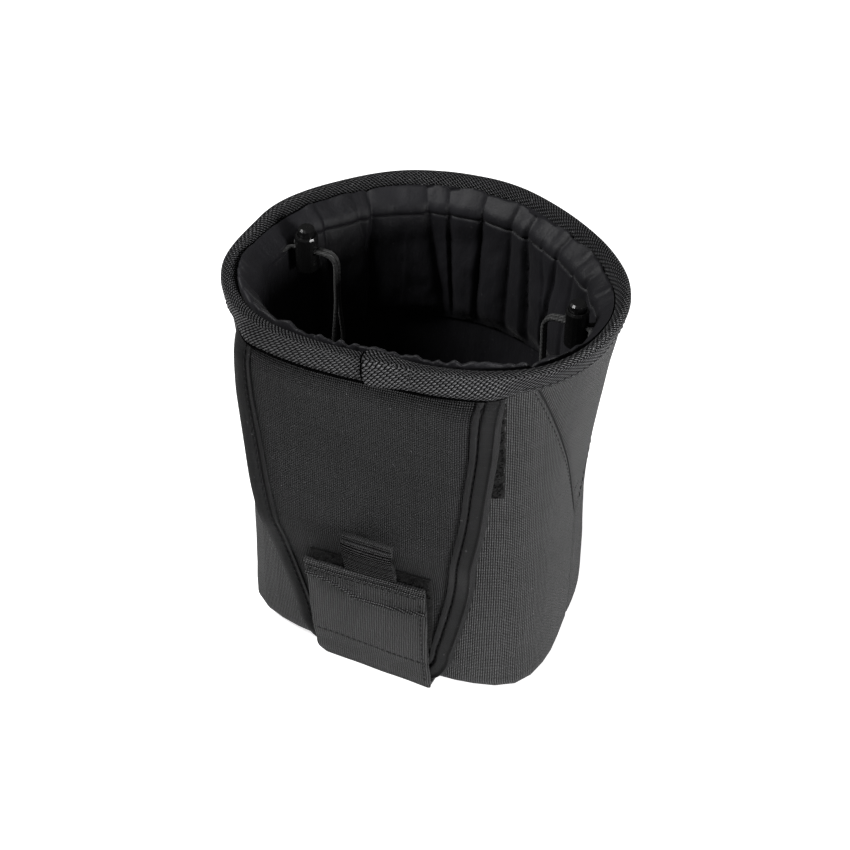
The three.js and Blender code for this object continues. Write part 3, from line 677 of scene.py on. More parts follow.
@cache
def handled_cloth():
    """Soft patches of lighter and darker cloth, with scattered lint."""
    inputs = {"Colour": (0.03, 0.03, 0.03, 1), "Patchiness": 0.25, "Lint": 0.2}
    wires, given, out = start_group("Handled cloth", inputs, ("Colour", "Patch"))
    place = wires.place()
    patch = wires.cloud(place, 24.0, 4.0, 0.6)
    wires.feed(out["Patch"], patch)
    lighter = wires.math("SUBTRACT", wires.ramp(patch, 0.3, 0.72), 0.5)
    shaded = wires.scaled(given["Colour"], wires.plus(1.0, wires.times(lighter, given["Patchiness"])))
    specks = wires.ramp(wires.cloud(place, 620.0, 1.0, 0.4), 0.73, 0.8)
    lint = wires.times(specks, given["Lint"])
    wires.feed(out["Colour"], wires.blend(lint, shaded, (0.16, 0.16, 0.165, 1)))
    return wires.tree


@cache
def fuzzy_pile():
    """Short tangled fibres, for hook and loop tape; its Shade is painted shade, darker where the fibres lie
    low.
    """
    wires, given, out = start_group("Fuzzy pile", {"Fibre": 900.0}, ("Height", "Shade"))
    place = wires.place()
    fibre = wires.cloud(place, given["Fibre"], 3.0, 0.7)
    clumps = wires.cloud(place, 300.0, 2.0, 0.5)
    height = wires.plus(wires.times(fibre, 0.6), wires.times(clumps, 0.4))
    wires.feed(out["Height"], height)
    wires.feed(out["Shade"], wires.ramp(height, 0.42, 0.66))
    return wires.tree


class Look(Wiring):
    """A new material, with its constants on the shader's own sockets."""

    def __init__(self, name, roughness, **constants):
        self.material = bpy.data.materials.new(name)
        self.material.use_nodes = True
        super().__init__(self.material.node_tree)
        self.sockets = self.tree.nodes["Principled BSDF"].inputs
        for label, value in {"Roughness": roughness, **constants}.items():
            self.sockets[label.replace("_", " ")].default_value = value

    def done(self, **values):
        """Feeds the shader and gives the material."""
        for label, value in values.items():
            self.feed(self.sockets[label.replace("_", " ")], value)
        return self.material


def tint(name, share=1.0):
    """A colour from the settings, made darker or lighter."""
    return [c * share for c in getattr(bpy.context.scene.pouch_colours, name)] + [1]


def grey(level):
    return (level, level, level, 1.0)


def woven_finish(name, colour, pitch, depth, roughness, thread_highlight, patchiness=0.3, lint=0.25, shine=0.3):
    """Plain woven cloth, webbing or tape: painted shade in the gaps, painted highlights on the thread tops,
    uneven threads.
    """
    look = Look(name, roughness, Sheen_Weight=0.04, Sheen_Roughness=0.5)
    weave = look.group(plain_weave(), Cloth=look.cloth(), Pitch_Across=pitch[0], Pitch_Along=pitch[1])
    worn = look.group(handled_cloth(), Colour=tint(colour), Patchiness=patchiness, Lint=lint)
    light = look.scaled(worn["Colour"], look.mixed(weave["Tint"], thread_highlight * 0.6, thread_highlight * 1.35))
    # Painted shade and highlight: the gaps are nearly black and the thread tops are painted lighter as
    # highlights
    return look.done(
        Base_Color=look.blend(weave["Thread"], tint(colour, 0.06), light),
        Roughness=look.mixed(worn["Patch"], roughness + 0.1, roughness - 0.1),
        Specular_IOR_Level=look.mixed(weave["Thread"], 0.02, shine),
        Normal=look.bump(weave["Height"], depth),
    )


@cache
def wall_cloth():
    return woven_finish("wall_cloth", "wall", (0.82, 0.78), 0.0009, 0.56, 2.6, patchiness=0.25, shine=0.8)


@cache
def flap_cloth():
    return woven_finish("flap_cloth", "flap", (0.86, 0.8), 0.0007, 0.62, 1.75, shine=0.26)


@cache
def smooth_tape():
    return woven_finish("smooth_tape", "tape", (0.34, 0.42), 0.00008, 0.6, 1.5, shine=0.22)


@cache
def strap_webbing():
    return woven_finish("strap_webbing", "webbing", (1.0, 0.6), 0.0008, 0.55, 2.6, shine=0.7)


@cache
def tab_webbing():
    pitch = (0.7, TAB_RIB)
    return woven_finish("tab_webbing", "webbing", pitch, 0.0005, 0.6, 1.6, patchiness=0.2, lint=0.15)


@cache
def tag_cloth():
    return woven_finish("tag_cloth", "tag", (0.35, 0.35), 0.00006, 0.65, 1.2, 0.1, 0.05, 0.25)


@cache
def lining_cloth():
    """Thin silky cloth with fine crumples and a low sheen."""
    sheen = {"Sheen_Weight": 0.06, "Sheen_Roughness": 0.35}
    look = Look("lining_cloth", 0.5, Specular_IOR_Level=0.22, **sheen)
    weave = look.group(plain_weave(), Cloth=look.cloth(), Pitch_Across=0.22, Pitch_Along=0.22)
    worn = look.group(handled_cloth(), Colour=tint("lining"), Patchiness=0.5, Lint=0.1)
    crumple = look.cloud(look.turned(look.place(), Scale=(1.0, 1.0, 0.4)), 190.0, 4.0, 0.55)
    height = look.plus(crumple, look.times(weave["Height"], 0.04))
    return look.done(
        Base_Color=worn["Colour"],
        Roughness=look.mixed(crumple, 0.38, 0.6),
        Normal=look.bump(height, 0.0009, 0.7),
    )


@cache
def rim_tape_cloth():
    look = Look("rim_tape_cloth", 0.5)
    pitches = {"Row_Pitch": 1.55, "Slant": 1.15, "Thread_Pitch": 1.0}
    weave = look.group(herringbone_weave(), Cloth=look.cloth(), **pitches)
    worn = look.group(handled_cloth(), Colour=tint("tape"), Patchiness=0.3, Lint=0.15)
    # Painted shade and highlight: the gaps between threads are nearly black and the thread tops are painted
    # bright as beads of light
    return look.done(
        Base_Color=look.blend(weave["Thread"], tint("tape", 0.02), look.scaled(worn["Colour"], 8.0)),
        Roughness=look.mixed(weave["Thread"], 0.75, 0.4),
        Specular_IOR_Level=look.mixed(weave["Thread"], 0.0, 0.7),
        Normal=look.bump(weave["Height"], 0.0014),
    )


def pile_finish(name, fibre):
    look = Look(name, 0.9, Sheen_Weight=0.03, Sheen_Roughness=0.7, Specular_IOR_Level=0.1)
    pile = look.group(fuzzy_pile(), Fibre=fibre)
    # Painted shade: the low fibres are darker
    colour = look.blend(pile["Shade"], tint("pile", 0.15), tint("pile", 1.15))
    return look.done(Base_Color=colour, Normal=look.bump(pile["Height"], 0.0016))


@cache
def loop_pile():
    return pile_finish("loop_pile", 750.0)


@cache
def hook_pile():
    return pile_finish("hook_pile", 1100.0)


@cache
def foam_padding():
    look = Look("foam_padding", 0.95, Specular_IOR_Level=0.2)
    cells = look.add("ShaderNodeTexVoronoi")
    look.feed(cells.inputs["Vector"], look.place())
    look.feed(cells.inputs["Scale"], 1500.0)
    depth = cells.outputs["Distance"]
    colour = look.blend(look.ramp(depth, 0.1, 0.6), grey(0.02), grey(0.06))
    return look.done(Base_Color=colour, Normal=look.bump(depth, 0.0003))


def twisted_finish(name, dark, light, gloss):
    look = Look(name, 0.6, Specular_IOR_Level=gloss)
    parts = look.split(look.cloth())
    turn = look.plus(look.times(parts[0], 6.0), look.times(parts[1], 9.0))
    twist = look.ramp(look.math("SINE", turn), -1.0, 1.0)
    colour = look.blend(twist, tint("thread", dark), tint("thread", light))
    return look.done(Base_Color=colour, Normal=look.bump(twist, 0.00006))


@cache
def sewing_thread():
    return twisted_finish("sewing_thread", 1.0, 2.0, 0.1)


@cache
def fold_edge():
    """Painted shade: a near-black thread finish for lines laid where shade falls, darker than any thread in
    the light.
    """
    return twisted_finish("fold_edge", 0.14, 0.3, 0.0)


@cache
def cord_braid():
    look = Look("cord_braid", 0.6, Sheen_Weight=0.2, Specular_IOR_Level=0.45)
    waves = []
    for turn in (0.6, -0.6):
        wave = look.add("ShaderNodeTexWave", wave_type="BANDS", bands_direction="Z")
        look.feed(wave.inputs["Vector"], look.turned(look.place(), Rotation=(turn, turn, 0.0)))
        look.feed(wave.inputs["Scale"], 260.0)
        waves.append(wave.outputs["Fac"])
    braid = look.math("MAXIMUM", *waves)
    colour = look.blend(braid, tint("cord", 0.5), tint("cord", 1.8))
    return look.done(Base_Color=colour, Normal=look.bump(braid, 0.0002))


@cache
def lock_plastic():
    look = Look("lock_plastic", 0.3, Specular_IOR_Level=0.5, Coat_Roughness=0.2)
    scuffs = look.ramp(look.cloud(look.place(), 240.0, 4.0, 0.7), 0.55, 0.75)
    return look.done(
        Base_Color=look.blend(scuffs, tint("plastic"), tint("plastic", 2.0)),
        Roughness=look.mixed(scuffs, 0.24, 0.48),
        Normal=look.bump(look.cloud(look.place(), 900.0, 2.0, 0.6), 0.00005, 0.5),
    )


@cache
def spring_steel():
    look = Look("spring_steel", 0.3, Metallic=1.0)
    drawn = look.cloud(look.place(), 700.0, 3.0, 0.7)
    colour = look.blend(drawn, (0.42, 0.42, 0.43, 1), (0.62, 0.62, 0.63, 1))
    return look.done(Base_Color=colour, Roughness=look.mixed(drawn, 0.22, 0.42))


@cache
def pale_floor():
    look = Look("pale_floor", 0.6, Specular_IOR_Level=0.1)
    glow = look.for_camera(0.06, 0.8)
    return look.done(Base_Color=grey(0.92), Emission_Color=WHITE, Emission_Strength=glow)


# Settings


def length_setting(name, description, default):
    return FloatProperty(name=name, description=description, default=default, unit="LENGTH")


def angle_setting(name, description, degrees):
    return FloatProperty(name=name, description=description, default=math.radians(degrees), subtype="ANGLE")


def power_setting(name, description, default):
    return FloatProperty(name=name, description=description, default=default, unit="POWER")


def colour_setting(name, description, default):
    return FloatVectorProperty(name=name, description=description, default=default, subtype="COLOR")


class PouchSizes(PropertyGroup):
    seam_dip: length_setting("Seam Dip", "How deep the wall's seams are drawn in", 0.0006)
    stitch_pitch: length_setting("Stitch Pitch", "Distance from one stitch to the next", 0.0032)
    thread_radius: length_setting("Thread Radius", "Half the thickness of the sewing thread", 0.00022)
    tape_roll: length_setting("Tape Roll", "How far the flap's edge tape stands proud", 0.0023)
    collar_creases: IntProperty(
        name="Collar Creases", description="Creases of the gathered collar", default=26, min=8, max=60
    )


class PouchColours(PropertyGroup):
    wall: colour_setting("Wall Cloth", "Woven cloth of the wall", (0.0155, 0.0155, 0.0160))
    flap: colour_setting("Flap Cloth", "Woven cloth of the belt flap", (0.0090, 0.0091, 0.0097))
    tape: colour_setting("Tape", "Binding tape of the rim and the flap", (0.0085, 0.0085, 0.0090))
    webbing: colour_setting("Webbing", "Strap and pull tab", (0.0096, 0.0096, 0.0099))
    lining: colour_setting("Lining", "Silky cloth of the collar and lining", (0.0125, 0.0122, 0.0143))
    pile: colour_setting("Hook and Loop", "Fuzzy tape", (0.004, 0.004, 0.004))
    thread: colour_setting("Thread", "Sewing thread", (0.006, 0.006, 0.0063))
    cord: colour_setting("Cord", "Drawcord", (0.010, 0.010, 0.010))
    plastic: colour_setting("Plastic", "Cord locks", (0.006, 0.006, 0.006))
    tag: colour_setting("Tag", "Small tag at the rim", (0.62, 0.26, 0.03))


class StudioSettings(PropertyGroup):
    azimuth: angle_setting("Azimuth", "Camera's angle round the pouch", 25)
    elevation: angle_setting("Elevation", "Camera's angle above the table", 40)
    roll: angle_setting("Roll", "Camera's tilt about its own line of sight", 0.42)
    distance: length_setting("Distance", "Camera to the middle of the pouch", 0.9)
    focal_length: FloatProperty(
        name="Focal Length", description="Lens on a 36 mm sensor", default=95.3, min=20
    )
    key_power: power_setting("Key Light", "Power of the large light above", 14.5)
    side_power: power_setting("Side Light", "Power of the light at the right", 24.0)
    room_light: FloatProperty(
        name="Room Light", description="Strength of the white surroundings", default=0.06
    )


# Stage

# The camera's aim, and how far below the picture's middle it shows, as a share of the lens's reach
AIM = Vector((0.0, -0.006, 0.075))
AIM_BELOW_CENTRE = 28.8 / 2361.1
LIGHT_AIM = Vector((0.0, 0.0, 0.08))
FLOOR_REACH = 4.0


def look_from(settings):
    """Where the camera stands and how it is turned."""
    az, el = settings.azimuth, settings.elevation
    toward = Vector((math.sin(az) * math.cos(el), -math.cos(az) * math.cos(el), math.sin(el)))
    place = AIM + toward * settings.distance
    forward = -toward
    right = Vector((math.cos(az), math.sin(az), 0.0))
    up = right.cross(forward)
    rolled_right = right * math.cos(settings.roll) + up * math.sin(settings.roll)
    rolled_up = up * math.cos(settings.roll) - right * math.sin(settings.roll)
    turn = math.atan(AIM_BELOW_CENTRE)
    ahead = forward * math.cos(turn) + rolled_up * math.sin(turn)
    top = rolled_up * math.cos(turn) - forward * math.sin(turn)
    spin = Matrix((rolled_right, top, -ahead)).transposed()
    return place, spin


class POUCH_OT_stage(Operator):
    """Camera, floor, lights and surroundings"""

    bl_idname = "pouch.stage"
    bl_label = "Studio"

    def execute(self, context):
        settings = context.scene.studio
        self.camera(settings)
        self.lamp("key_light", (-0.6, -0.35, 1.05), 0.5, settings.key_power)
        self.lamp("side_light", (1.2, -0.3, 0.22), 0.38, settings.side_power)
        self.floor()
        self.room(settings.room_light)
        context.scene.view_settings.view_transform = "Standard"
        return {"FINISHED"}

    def camera(self, settings):
        lens = bpy.data.cameras.new("camera")
        lens.sensor_width = 36.0
        lens.lens = settings.focal_length
        lens.clip_start = 0.01
        camera = bpy.data.objects.new("camera", lens)
        place, spin = look_from(settings)
        camera.matrix_world = Matrix.Translation(place) @ spin.to_4x4()
        bpy.context.scene.collection.objects.link(camera)
        bpy.context.scene.camera = camera

    def lamp(self, name, place, size, power):
        light = bpy.data.lights.new(name, "AREA")
        light.energy = power
        light.size = size
        piece = bpy.data.objects.new(name, light)
        spin = (LIGHT_AIM - Vector(place)).to_track_quat("-Z", "Y").to_matrix()
        piece.matrix_world = Matrix.Translation(place) @ spin.to_4x4()
        bpy.context.scene.collection.objects.link(piece)

    def floor(self):
        mesh = bpy.data.meshes.new("studio_floor")
        corners = [(x * FLOOR_REACH, y * FLOOR_REACH, 0) for x, y in ((-1, -1), (1, -1), (1, 1), (-1, 1))]
        mesh.from_pydata(corners, [], [(0, 1, 2, 3)])
        piece = bpy.data.objects.new("studio_floor", mesh)
        bpy.context.scene.collection.objects.link(piece)
        mesh.materials.append(pale_floor())

    def room(self, strength):
        world = bpy.data.worlds.new("white_room")
        world.use_nodes = True
        back = world.node_tree.nodes["Background"]
        back.inputs["Color"].default_value = WHITE
        wires = Wiring(world.node_tree)
        wires.feed(back.inputs["Strength"], wires.for_camera(strength, 1.0))
        bpy.context.scene.world = world


# Cords

# The lower part of a tail's strand: the share of its drop, and how far it is off the middle
TAIL_STRAND = ((0.27, STRAND), (0.44, STRAND), (0.57, 1.6), (0.7, 2.6), (0.82, 3.68))
TAIL_STRAND += ((0.911, LOOP_HALF_WIDTH), (0.956, 3.46), (0.988, 2.0))


def tail_route(side):
    """The free end of the cord: out through the lock, over and down, and back up, in millimetres."""
    middle, level = HEM_END[1], HEM_HEIGHT

    def strand(direction):
        start = [(HEM_END[0] - CORD_BEND - 0.3, level), (LOCK_X, level), (TAIL_START, level)]
        start.append((TAIL_START - TAIL_BEND * 0.5, level - TAIL_BEND * 0.13))
        start.append((TAIL_START - TAIL_BEND * 0.87, level - TAIL_BEND * 0.5))
        start.append((TAIL_X, level - TAIL_BEND))
        route = [(x, middle + direction * STRAND, z) for x, z in start]
        for share, off in TAIL_STRAND:
            route.append((TAIL_X, middle + direction * off, level - TAIL_DROP * share))
        return route

    route = strand(1) + [(TAIL_X, middle, level - TAIL_DROP)] + strand(-1)[::-1]
    return [(side * x, y, z) for x, y, z in route]


def cord_curve(name, route, body, replaces):
    curve = bpy.data.curves.new(name, "CURVE")
    curve.dimensions = "3D"
    curve.bevel_depth = CORD_RADIUS * MM
    curve.bevel_resolution = 3
    curve.use_fill_caps = True
    spline = curve.splines.new("POLY")
    spline.points.add(len(route) - 1)
    for point, place in zip(spline.points, route):
        point.co = (*(c * MM for c in place), 1.0)
    spline.use_smooth = True
    curve.materials.append(cord_braid())
    piece = bpy.data.objects.new(name, curve)
    bpy.context.scene.collection.objects.link(piece)
    return settle(piece, body, replaces)


class POUCH_OT_cords(Operator):
    """Drawcord in the hem and the cord's two free tails"""

    bl_idname = "pouch.cords"
    bl_label = "Cords"

    def execute(self, context):
        for side, name in ((1, "right_cord_tail"), (-1, "left_cord_tail")):
            route = through(tail_route(side), 5)
            length = lengths_along(route)[-1] * MM
            piece = cord_curve(f"{name}_braid", route, "hem", (name,))
            leaves = [c * MM for c in route[0]]
        for direction, name in ((1, "far_drawcord"), (-1, "belt_side_drawcord")):
            cord_curve(f"{name}_braid", self.run_route(direction), "hem", (name,))
        return {"FINISHED"}

    def run_route(self, direction):
        """One run of the cord round the hem, turning in at both buttonholes."""

        def bend(side):
            for turn in spread(0, math.pi / 2, 4):
                x = side * (HEM_END[0] - CORD_BEND + CORD_BEND * math.sin(turn))
                off = STRAND + CORD_BEND - CORD_BEND * math.cos(turn)
                yield x, HEM_END[1] + direction * off, HEM_HEIGHT

        clear = (STRAND + CORD_BEND + 4) / HEM_END[0]
        hole = math.radians(HOLE_DEGREES)
        start = hole + direction * clear
        end = direction * (math.pi - clear) - hole
        around = [body_point(angle, HEM_HEIGHT, -HEM_INSET) for angle in spread(start, end, 40)]
        return through([*bend(1), *around, *reversed(list(bend(-1)))], 3)


# Walls


def panel_places(width):
    """Distances along a panel: close together at its two seams."""
    near = [0.0, 0.5, 1.1, 1.9, 3.0, 4.6, 6.8]
    if width < 16:
        return [width * (0.5 - 0.5 * math.cos(math.pi * k / 40)) for k in range(41)]
    inner = spread(near[-1], width - near[-1], 29)
    return near[:-1] + inner + [width - d for d in near[-2::-1]]


WALL_ROWS = [1.3, 1.8, 2.6, 3.6, 4.9, 6.4, 8.2, 10.5, 13.5, 17.0]
WALL_ROWS += spread(21.0, 156.0, 46) + [158.2, 159.6]


def wall_panel(name, node, first, last, rows):
    """A piece of the wall between two seams, which are drawn in; first and last give their angles."""
    dip = bpy.context.scene.pouch_sizes.seam_dip / MM

    def row(z):
        start, end = first(z), last(z)
        width = lengths_along([body_point(mix(start, end, k / 24), z) for k in range(25)])[-1]
        gap = min(0.45, width * 0.25)
        wide = width - 2 * gap
        for place in panel_places(wide):
            angle = mix(start, end, (place + gap) / width)
            near = min(place, wide - place)
            drawn = dip * bell(near, 0.9) + 0.4 * dip * bell(near, 5.0)
            out = wall_swell(angle, z) - drawn
            inner = -WALL_CLOTH + min(out, 0.0) * 0.3 - 0.9
            yield body_point(angle, z, out), body_point(angle, z, inner), (place - wide / 2, z)

    skin = Skin()
    skin.leaf([row(z) for z in rows])
    skin.build(name, wall_cloth(), "bag", (node,), "shell_fabric")


def front_seam(z):
    """Angle of the right gusset's seam with the belt side."""
    return angle_at(GUSSET_Y - seam_y(z), z)


def back_seam(z):
    return angle_at(GUSSET_Y + seam_y(z), z)


def left_front_seam(z):
    return math.pi - front_seam(z)


def left_back_seam(z):
    return math.pi - back_seam(z)


class POUCH_OT_walls(Operator):
    """Woven panels of the wall, with their seams and stitches"""

    bl_idname = "pouch.walls"
    bl_label = "Wall Panels"

    def execute(self, context):
        wall_panel("belt_wall", "belt_side_wall", lambda z: -math.pi - front_seam(z), front_seam, WALL_ROWS)
        wall_panel("far_wall", "far_side_wall", back_seam, left_back_seam, WALL_ROWS)
        rows = [GUSSET_APEX + 0.6, 63.5, 64.8, 66.5] + [z for z in WALL_ROWS if z > 68]
        wall_panel("right_gusset_panel", "right_gusset", front_seam, back_seam, rows)
        wall_panel("left_gusset_panel", "left_gusset", left_back_seam, left_front_seam, rows)
        self.seam_stitches()
        return {"FINISHED"}

    def seam_stitches(self):
        """A row of stitches on the wall's side of each gusset seam."""
        skin = Skin()
        heights = spread(GUSSET_APEX + 4, 152.5, 46)
        away = 2.0 / SEAM_RADIUS

        def line(seam, off, mirrored, out):
            angles = [seam(z) + off for z in heights]
            if mirrored:
                angles = [math.pi - angle for angle in angles]
            return [body_point(a, z, wall_swell(a, z) + out) for a, z in zip(angles, heights)]

        for seam, off in ((front_seam, -away), (back_seam, away)):
            for mirrored in (False, True):
                skin.tube(line(seam, 0.0, mirrored, -1.0), 0.5, sides=6)
                sew(skin, line(seam, off, mirrored, -0.45), outward, 0.7, 0.05)
        skin.build("gusset_stitches", sewing_thread(), "bag", slot="cord")


def pad_point(angle, share, z, out, level=9.0):
    """A point of a level section of the body, drawn in towards the middle."""
    x, y, _ = body_point(angle, level, out)
    return (x * share, mix(MIDDLE_Y, y, share), z)


class POUCH_OT_base(Operator):
    """Base cloth and its padding"""

    bl_idname = "pouch.base"
    bl_label = "Base"

    def execute(self, context):
        self.cloth()
        padding = self.slab(low=1.7, high=5.4, out=-6.2, crown=0.25)
        piece = padding.build("base_padding", foam_padding(), "bag", ("base_foam",), "foam")
        lining = self.slab(low=5.9, high=6.6, out=-6.4, crown=0.0)
        lining.build("base_lining_cloth", lining_cloth(), "bag", ("base_lining",), "lining")
        return {"FINISHED"}

    def cloth(self):
        angles = turns(96)
        shares = [0.15, 0.3, 0.45, 0.6, 0.72, 0.82, 0.9, 0.96, 1.0]
        top = 1.2
        rings = [[pad_point(angle, share, 0.0, 0.0, 0.0) for angle in angles] for share in shares]
        for z, out in ((0.25, -0.2), (0.6, -0.2), (1.0, -0.2), (1.25, -1.5)):
            rings.append([body_point(angle, z, out) for angle in angles])
        for share in shares[::-1]:
            rings.append([pad_point(angle, share * 0.96, top, 0.0, top) for angle in angles])
        skin = Skin()
        skin.drum(rings, 0.0, top)
        skin.build("base_cloth", wall_cloth(), "bag", ("base_panel",), "shell_fabric")

    @staticmethod
    def slab(low, high, out, crown):
        """A flat pad with rounded edges, whose top is slightly crowned."""
        angles = turns(72)
        shares = (0.2, 0.4, 0.6, 0.8, 0.93)
        half, middle = (high - low) / 2, (low + high) / 2
        levels = [(share, low, out) for share in shares]
        for turn in spread(-math.pi / 2, math.pi / 2, 7):
            levels.append((1.0, middle + half * math.sin(turn), out - half + half * math.cos(turn)))
        levels += [(share, high + crown * (1 - share**2), out) for share in shares[::-1]]
        skin = Skin()
        skin.drum([[pad_point(angle, *level) for angle in angles] for level in levels], low, high + crown)
        return skin


# Lining and foam


def thinned(inset, z):
    """Insets shrink where the foam thins towards the rim."""
    return inset - RIM_THINNING * ease((z - (BODY_HEIGHT - RIM_BAND)) / RIM_BAND)


class POUCH_OT_lining(Operator):
    """Foam ring and lining of the wall"""

    bl_idname = "pouch.lining"
    bl_label = "Lining"

    def execute(self, context):
        heights = [7.4, 8.5, 10.5, 14.0] + spread(20.0, 157.0, 30)
        foam = self.ring(heights, FOAM_OUTER, FOAM_INNER, slack=0.0)
        piece = foam.build("wall_padding", foam_padding(), "bag", ("wall_foam",), "foam")
        lining = self.ring(heights, LINING_OUTER, LINING_INNER, slack=0.5)
        lining.build("lining_wall", lining_cloth(), "bag", ("wall_lining",), "lining")
        return {"FINISHED"}

    @staticmethod
    def ring(heights, outer, inner, slack):
        """A ring between two insets, which is loose by up to slack on its inner face."""

        def point(angle, z, face):
            inset = face if face == FOAM_OUTER else thinned(face, z)
            if face == inner:
                x, y, _ = body_point(angle, z)
                inset += slack * (0.5 + 0.5 * ripple(x, y, z * 0.5, 18))
            return body_point(angle, z, -inset)

        places = [(z, outer) for z in heights] + [(z, inner) for z in heights[::-1]]
        rows = [[point(angle, *place) for angle in turns(120)] for place in places]
        rows.append(rows[0])
        skin = Skin()
        skin.grid(rows, level_cloth(rows), closed=True)
        return skin


# Rim tape


def flap_cover(angle):
    """1 where the flap hangs below the rim tape, 0 elsewhere."""
    x, y, _ = body_point(angle, BODY_HEIGHT)
    return ease((58.0 - abs(x)) / 14.0) if y < 0 else 0.0


# The tape's section: out from the wall, height, and distance across the cloth from the tape's middle
RIM_PROFILE = (
    [(-1.0, 153.1, 8.6), (-0.55, 152.6, 8.2), (-0.05, 152.75, 7.8), (0.12, 153.4, 7.2)]
    + [(0.15, 154.8, 5.8), (0.2, 156.2, 4.4), (0.3, 157.6, 3.0), (0.3, 158.9, 1.6)]
    + [(0.0, 160.0, 0.5), (-0.7, 160.8, -0.6), (-1.8, 161.2, -1.8), (-3.0, 161.15, -3.0)]
    + [(-4.1, 160.6, -4.2), (-4.8, 159.6, -5.4), (-5.0, 158.2, -6.8), (-4.9, 156.6, -8.4)]
    + [(-4.8, 155.0, -10.0), (-4.75, 153.7, -11.3), (-4.5, 153.2, -11.8), (-4.1, 153.3, -12.2)]
    + [(-3.9, 154.5, -13.4), (-3.6, 158.5, -17.4), (-2.4, 159.9, -18.8), (-1.4, 159.2, -19.9)]
    + [(-1.05, 157.0, -22.1)]
)
RIM_TOP = 8
RIM_LAP = slice(1, 19)
RIM_STEPS = 420
# The tape's cut end: where it starts and how far it laps over, in degrees
LAP_START = -87.6
LAP_REACH = 15.0
# Where the painted shadow line under the tape begins and ends along the flap's top, in degrees
SHADOW_LINE_SPAN = (-139.0, -41.0)


def rim_shape(angle, grow=0.0):
    """The tape's section at an angle, with the cloth's second number for each of its points."""
    cover = flap_cover(angle)
    wave = round_noise(angle, 9, 1.5)
    points, cloth = [], []
    for out, z, v in RIM_PROFILE:
        outer_leg = ease((out + 1.2) / 1.2) * ease((160.4 - z) / 3.0)
        pushed = 0.9 + out + rim_push(angle)
        pushed += outer_leg * (3.5 * cover * ease((159.5 - z) / 5.0) + 0.25 * wave)
        lower = outer_leg * (0.35 * wave - 0.3 * cover) * ease((157 - z) / 4)
        if grow:
            pushed += grow * (1 if out > -2 else -1) * (0.35 if z > 160.6 else 1)
            lower += grow * (0.9 if z > 159.5 else -0.3)
        points.append(body_point(angle, z + rim_lift(angle) + lower, pushed))
        cloth.append(v)
    return points, cloth


class POUCH_OT_rim_tape(Operator):
    """Herringbone tape folded over the rim, with its lapped end"""

    bl_idname = "pouch.rim_tape"
    bl_label = "Rim Tape"

    def execute(self, context):
        rows, cloth, tops = [], [], []
        around = turns(RIM_STEPS)
        for angle in around + around[:1]:
            points, across = rim_shape(-math.pi / 2 + angle)
            rows.append(points)
            cloth.append(across + [across[0] - 30.0])
            tops.append(points[RIM_TOP])
        cloth = [[(run, v) for v in line] for run, line in zip(lengths_along(tops), cloth)]
        skin = Skin()
        skin.grid(rows, cloth, closed=True)
        skin.build("rim_tape", rim_tape_cloth(), "bag", ("rim_binding",), "binding_tape", sharp=80)
        self.lap()
        self.stitches()
        self.fold_edge()
        return {"FINISHED"}

    def lap(self):
        """The cut end of the tape, folded under and sewn over its beginning."""
        rows, cloth = [], []
        for share in (0, 0.012, 0.035, 0.07, 0.12, 0.2, 0.3, 0.42, 0.55, 0.7, 0.85, 1.0):
            angle = math.radians(LAP_START) + math.radians(LAP_REACH) * share
            lift = 1.15 * math.sqrt(min(share / 0.035, 1.0)) * ease((1.0 - share) / 0.8)
            points, across = rim_shape(angle, 0.05 + lift)
            row = []
            for (x, y, z), v in zip(points[RIM_LAP], across[RIM_LAP]):
                bow = 2.4 * (1 - ((v + 1.5) / 9.0) ** 2) * (1 - share)
                row.append((x - bow, y, z))
            rows.append(row)
            cloth.append([(angle * LAP_RADIUS, v) for v in across[RIM_LAP]])
        under = [[(x, y + 0.35 * (1 if y < -60 else -1), z - 0.2) for x, y, z in row] for row in rows]
        # Painted shadow: a near-black tube just left of the lap's cut edge, where its shade falls
        edge = Skin()
        edge.tube([(x - 0.45, y - 0.1, z) for x, y, z in rows[0]], 0.4, sides=6)
        edge.build("rim_lap_edge", fold_edge(), "bag", slot="cord")
        skin = Skin()
        skin.plate(rows, under, cloth)
        skin.build("rim_tape_lap", rim_tape_cloth(), "bag", slot="binding_tape", sharp=80)

    def stitches(self):
        path = []
        for angle in turns(360) + [TAU]:
            points, _ = rim_shape(angle)
            path.append(tuple(Vector(points[4]).lerp(Vector(points[3]), 0.4)))
        skin = Skin()
        sew(skin, path, outward, 0.66, -0.12)
        skin.build("rim_stitches", sewing_thread(), "bag", slot="cord")

    def fold_edge(self):
        """Painted shadow: a near-black line hung under the tape's lower edge along the flap's top, thin at
        both its ends.
        """
        last = 120
        path, radii = [], []
        for k in range(last + 1):
            points, _ = rim_shape(math.radians(mix(*SHADOW_LINE_SPAN, k / last)))
            x, y, z = points[2]
            path.append((x, y - 0.1, z - 0.35))
            radii.append(0.08 + 0.4 * ease(min(k, last - k) / 22.0))
        skin = Skin()
        skin.tube(path, radii, sides=6)
        skin.build("rim_fold_edge", fold_edge(), "bag", slot="cord")


# Loop panel and tag

LOOP_LOW = 101.2
LOOP_HIGH = 147.0
LOOP_HALF_PANEL = 50.8
TAG_TOP = 153.4


def tufts(skin, seed, places, reach, surface, count):
    """Short bent fibres that stand on a fuzzy surface; places and reach give their limits."""
    rng = random.Random(seed)
    for _ in range(count):
        x, z = rng.uniform(*rng.choice(places)), rng.uniform(*reach)
        along, up = rng.uniform(-0.7, 0.7), rng.uniform(-0.7, 0.7)
        y = surface(x, z)
        path = [(x, y + 0.3, z), (x + along * 0.5, y - 0.45, z + up * 0.5), (x + along, y - 0.1, z + up)]
        skin.tube(path, [0.17, 0.2, 0.1], sides=4)


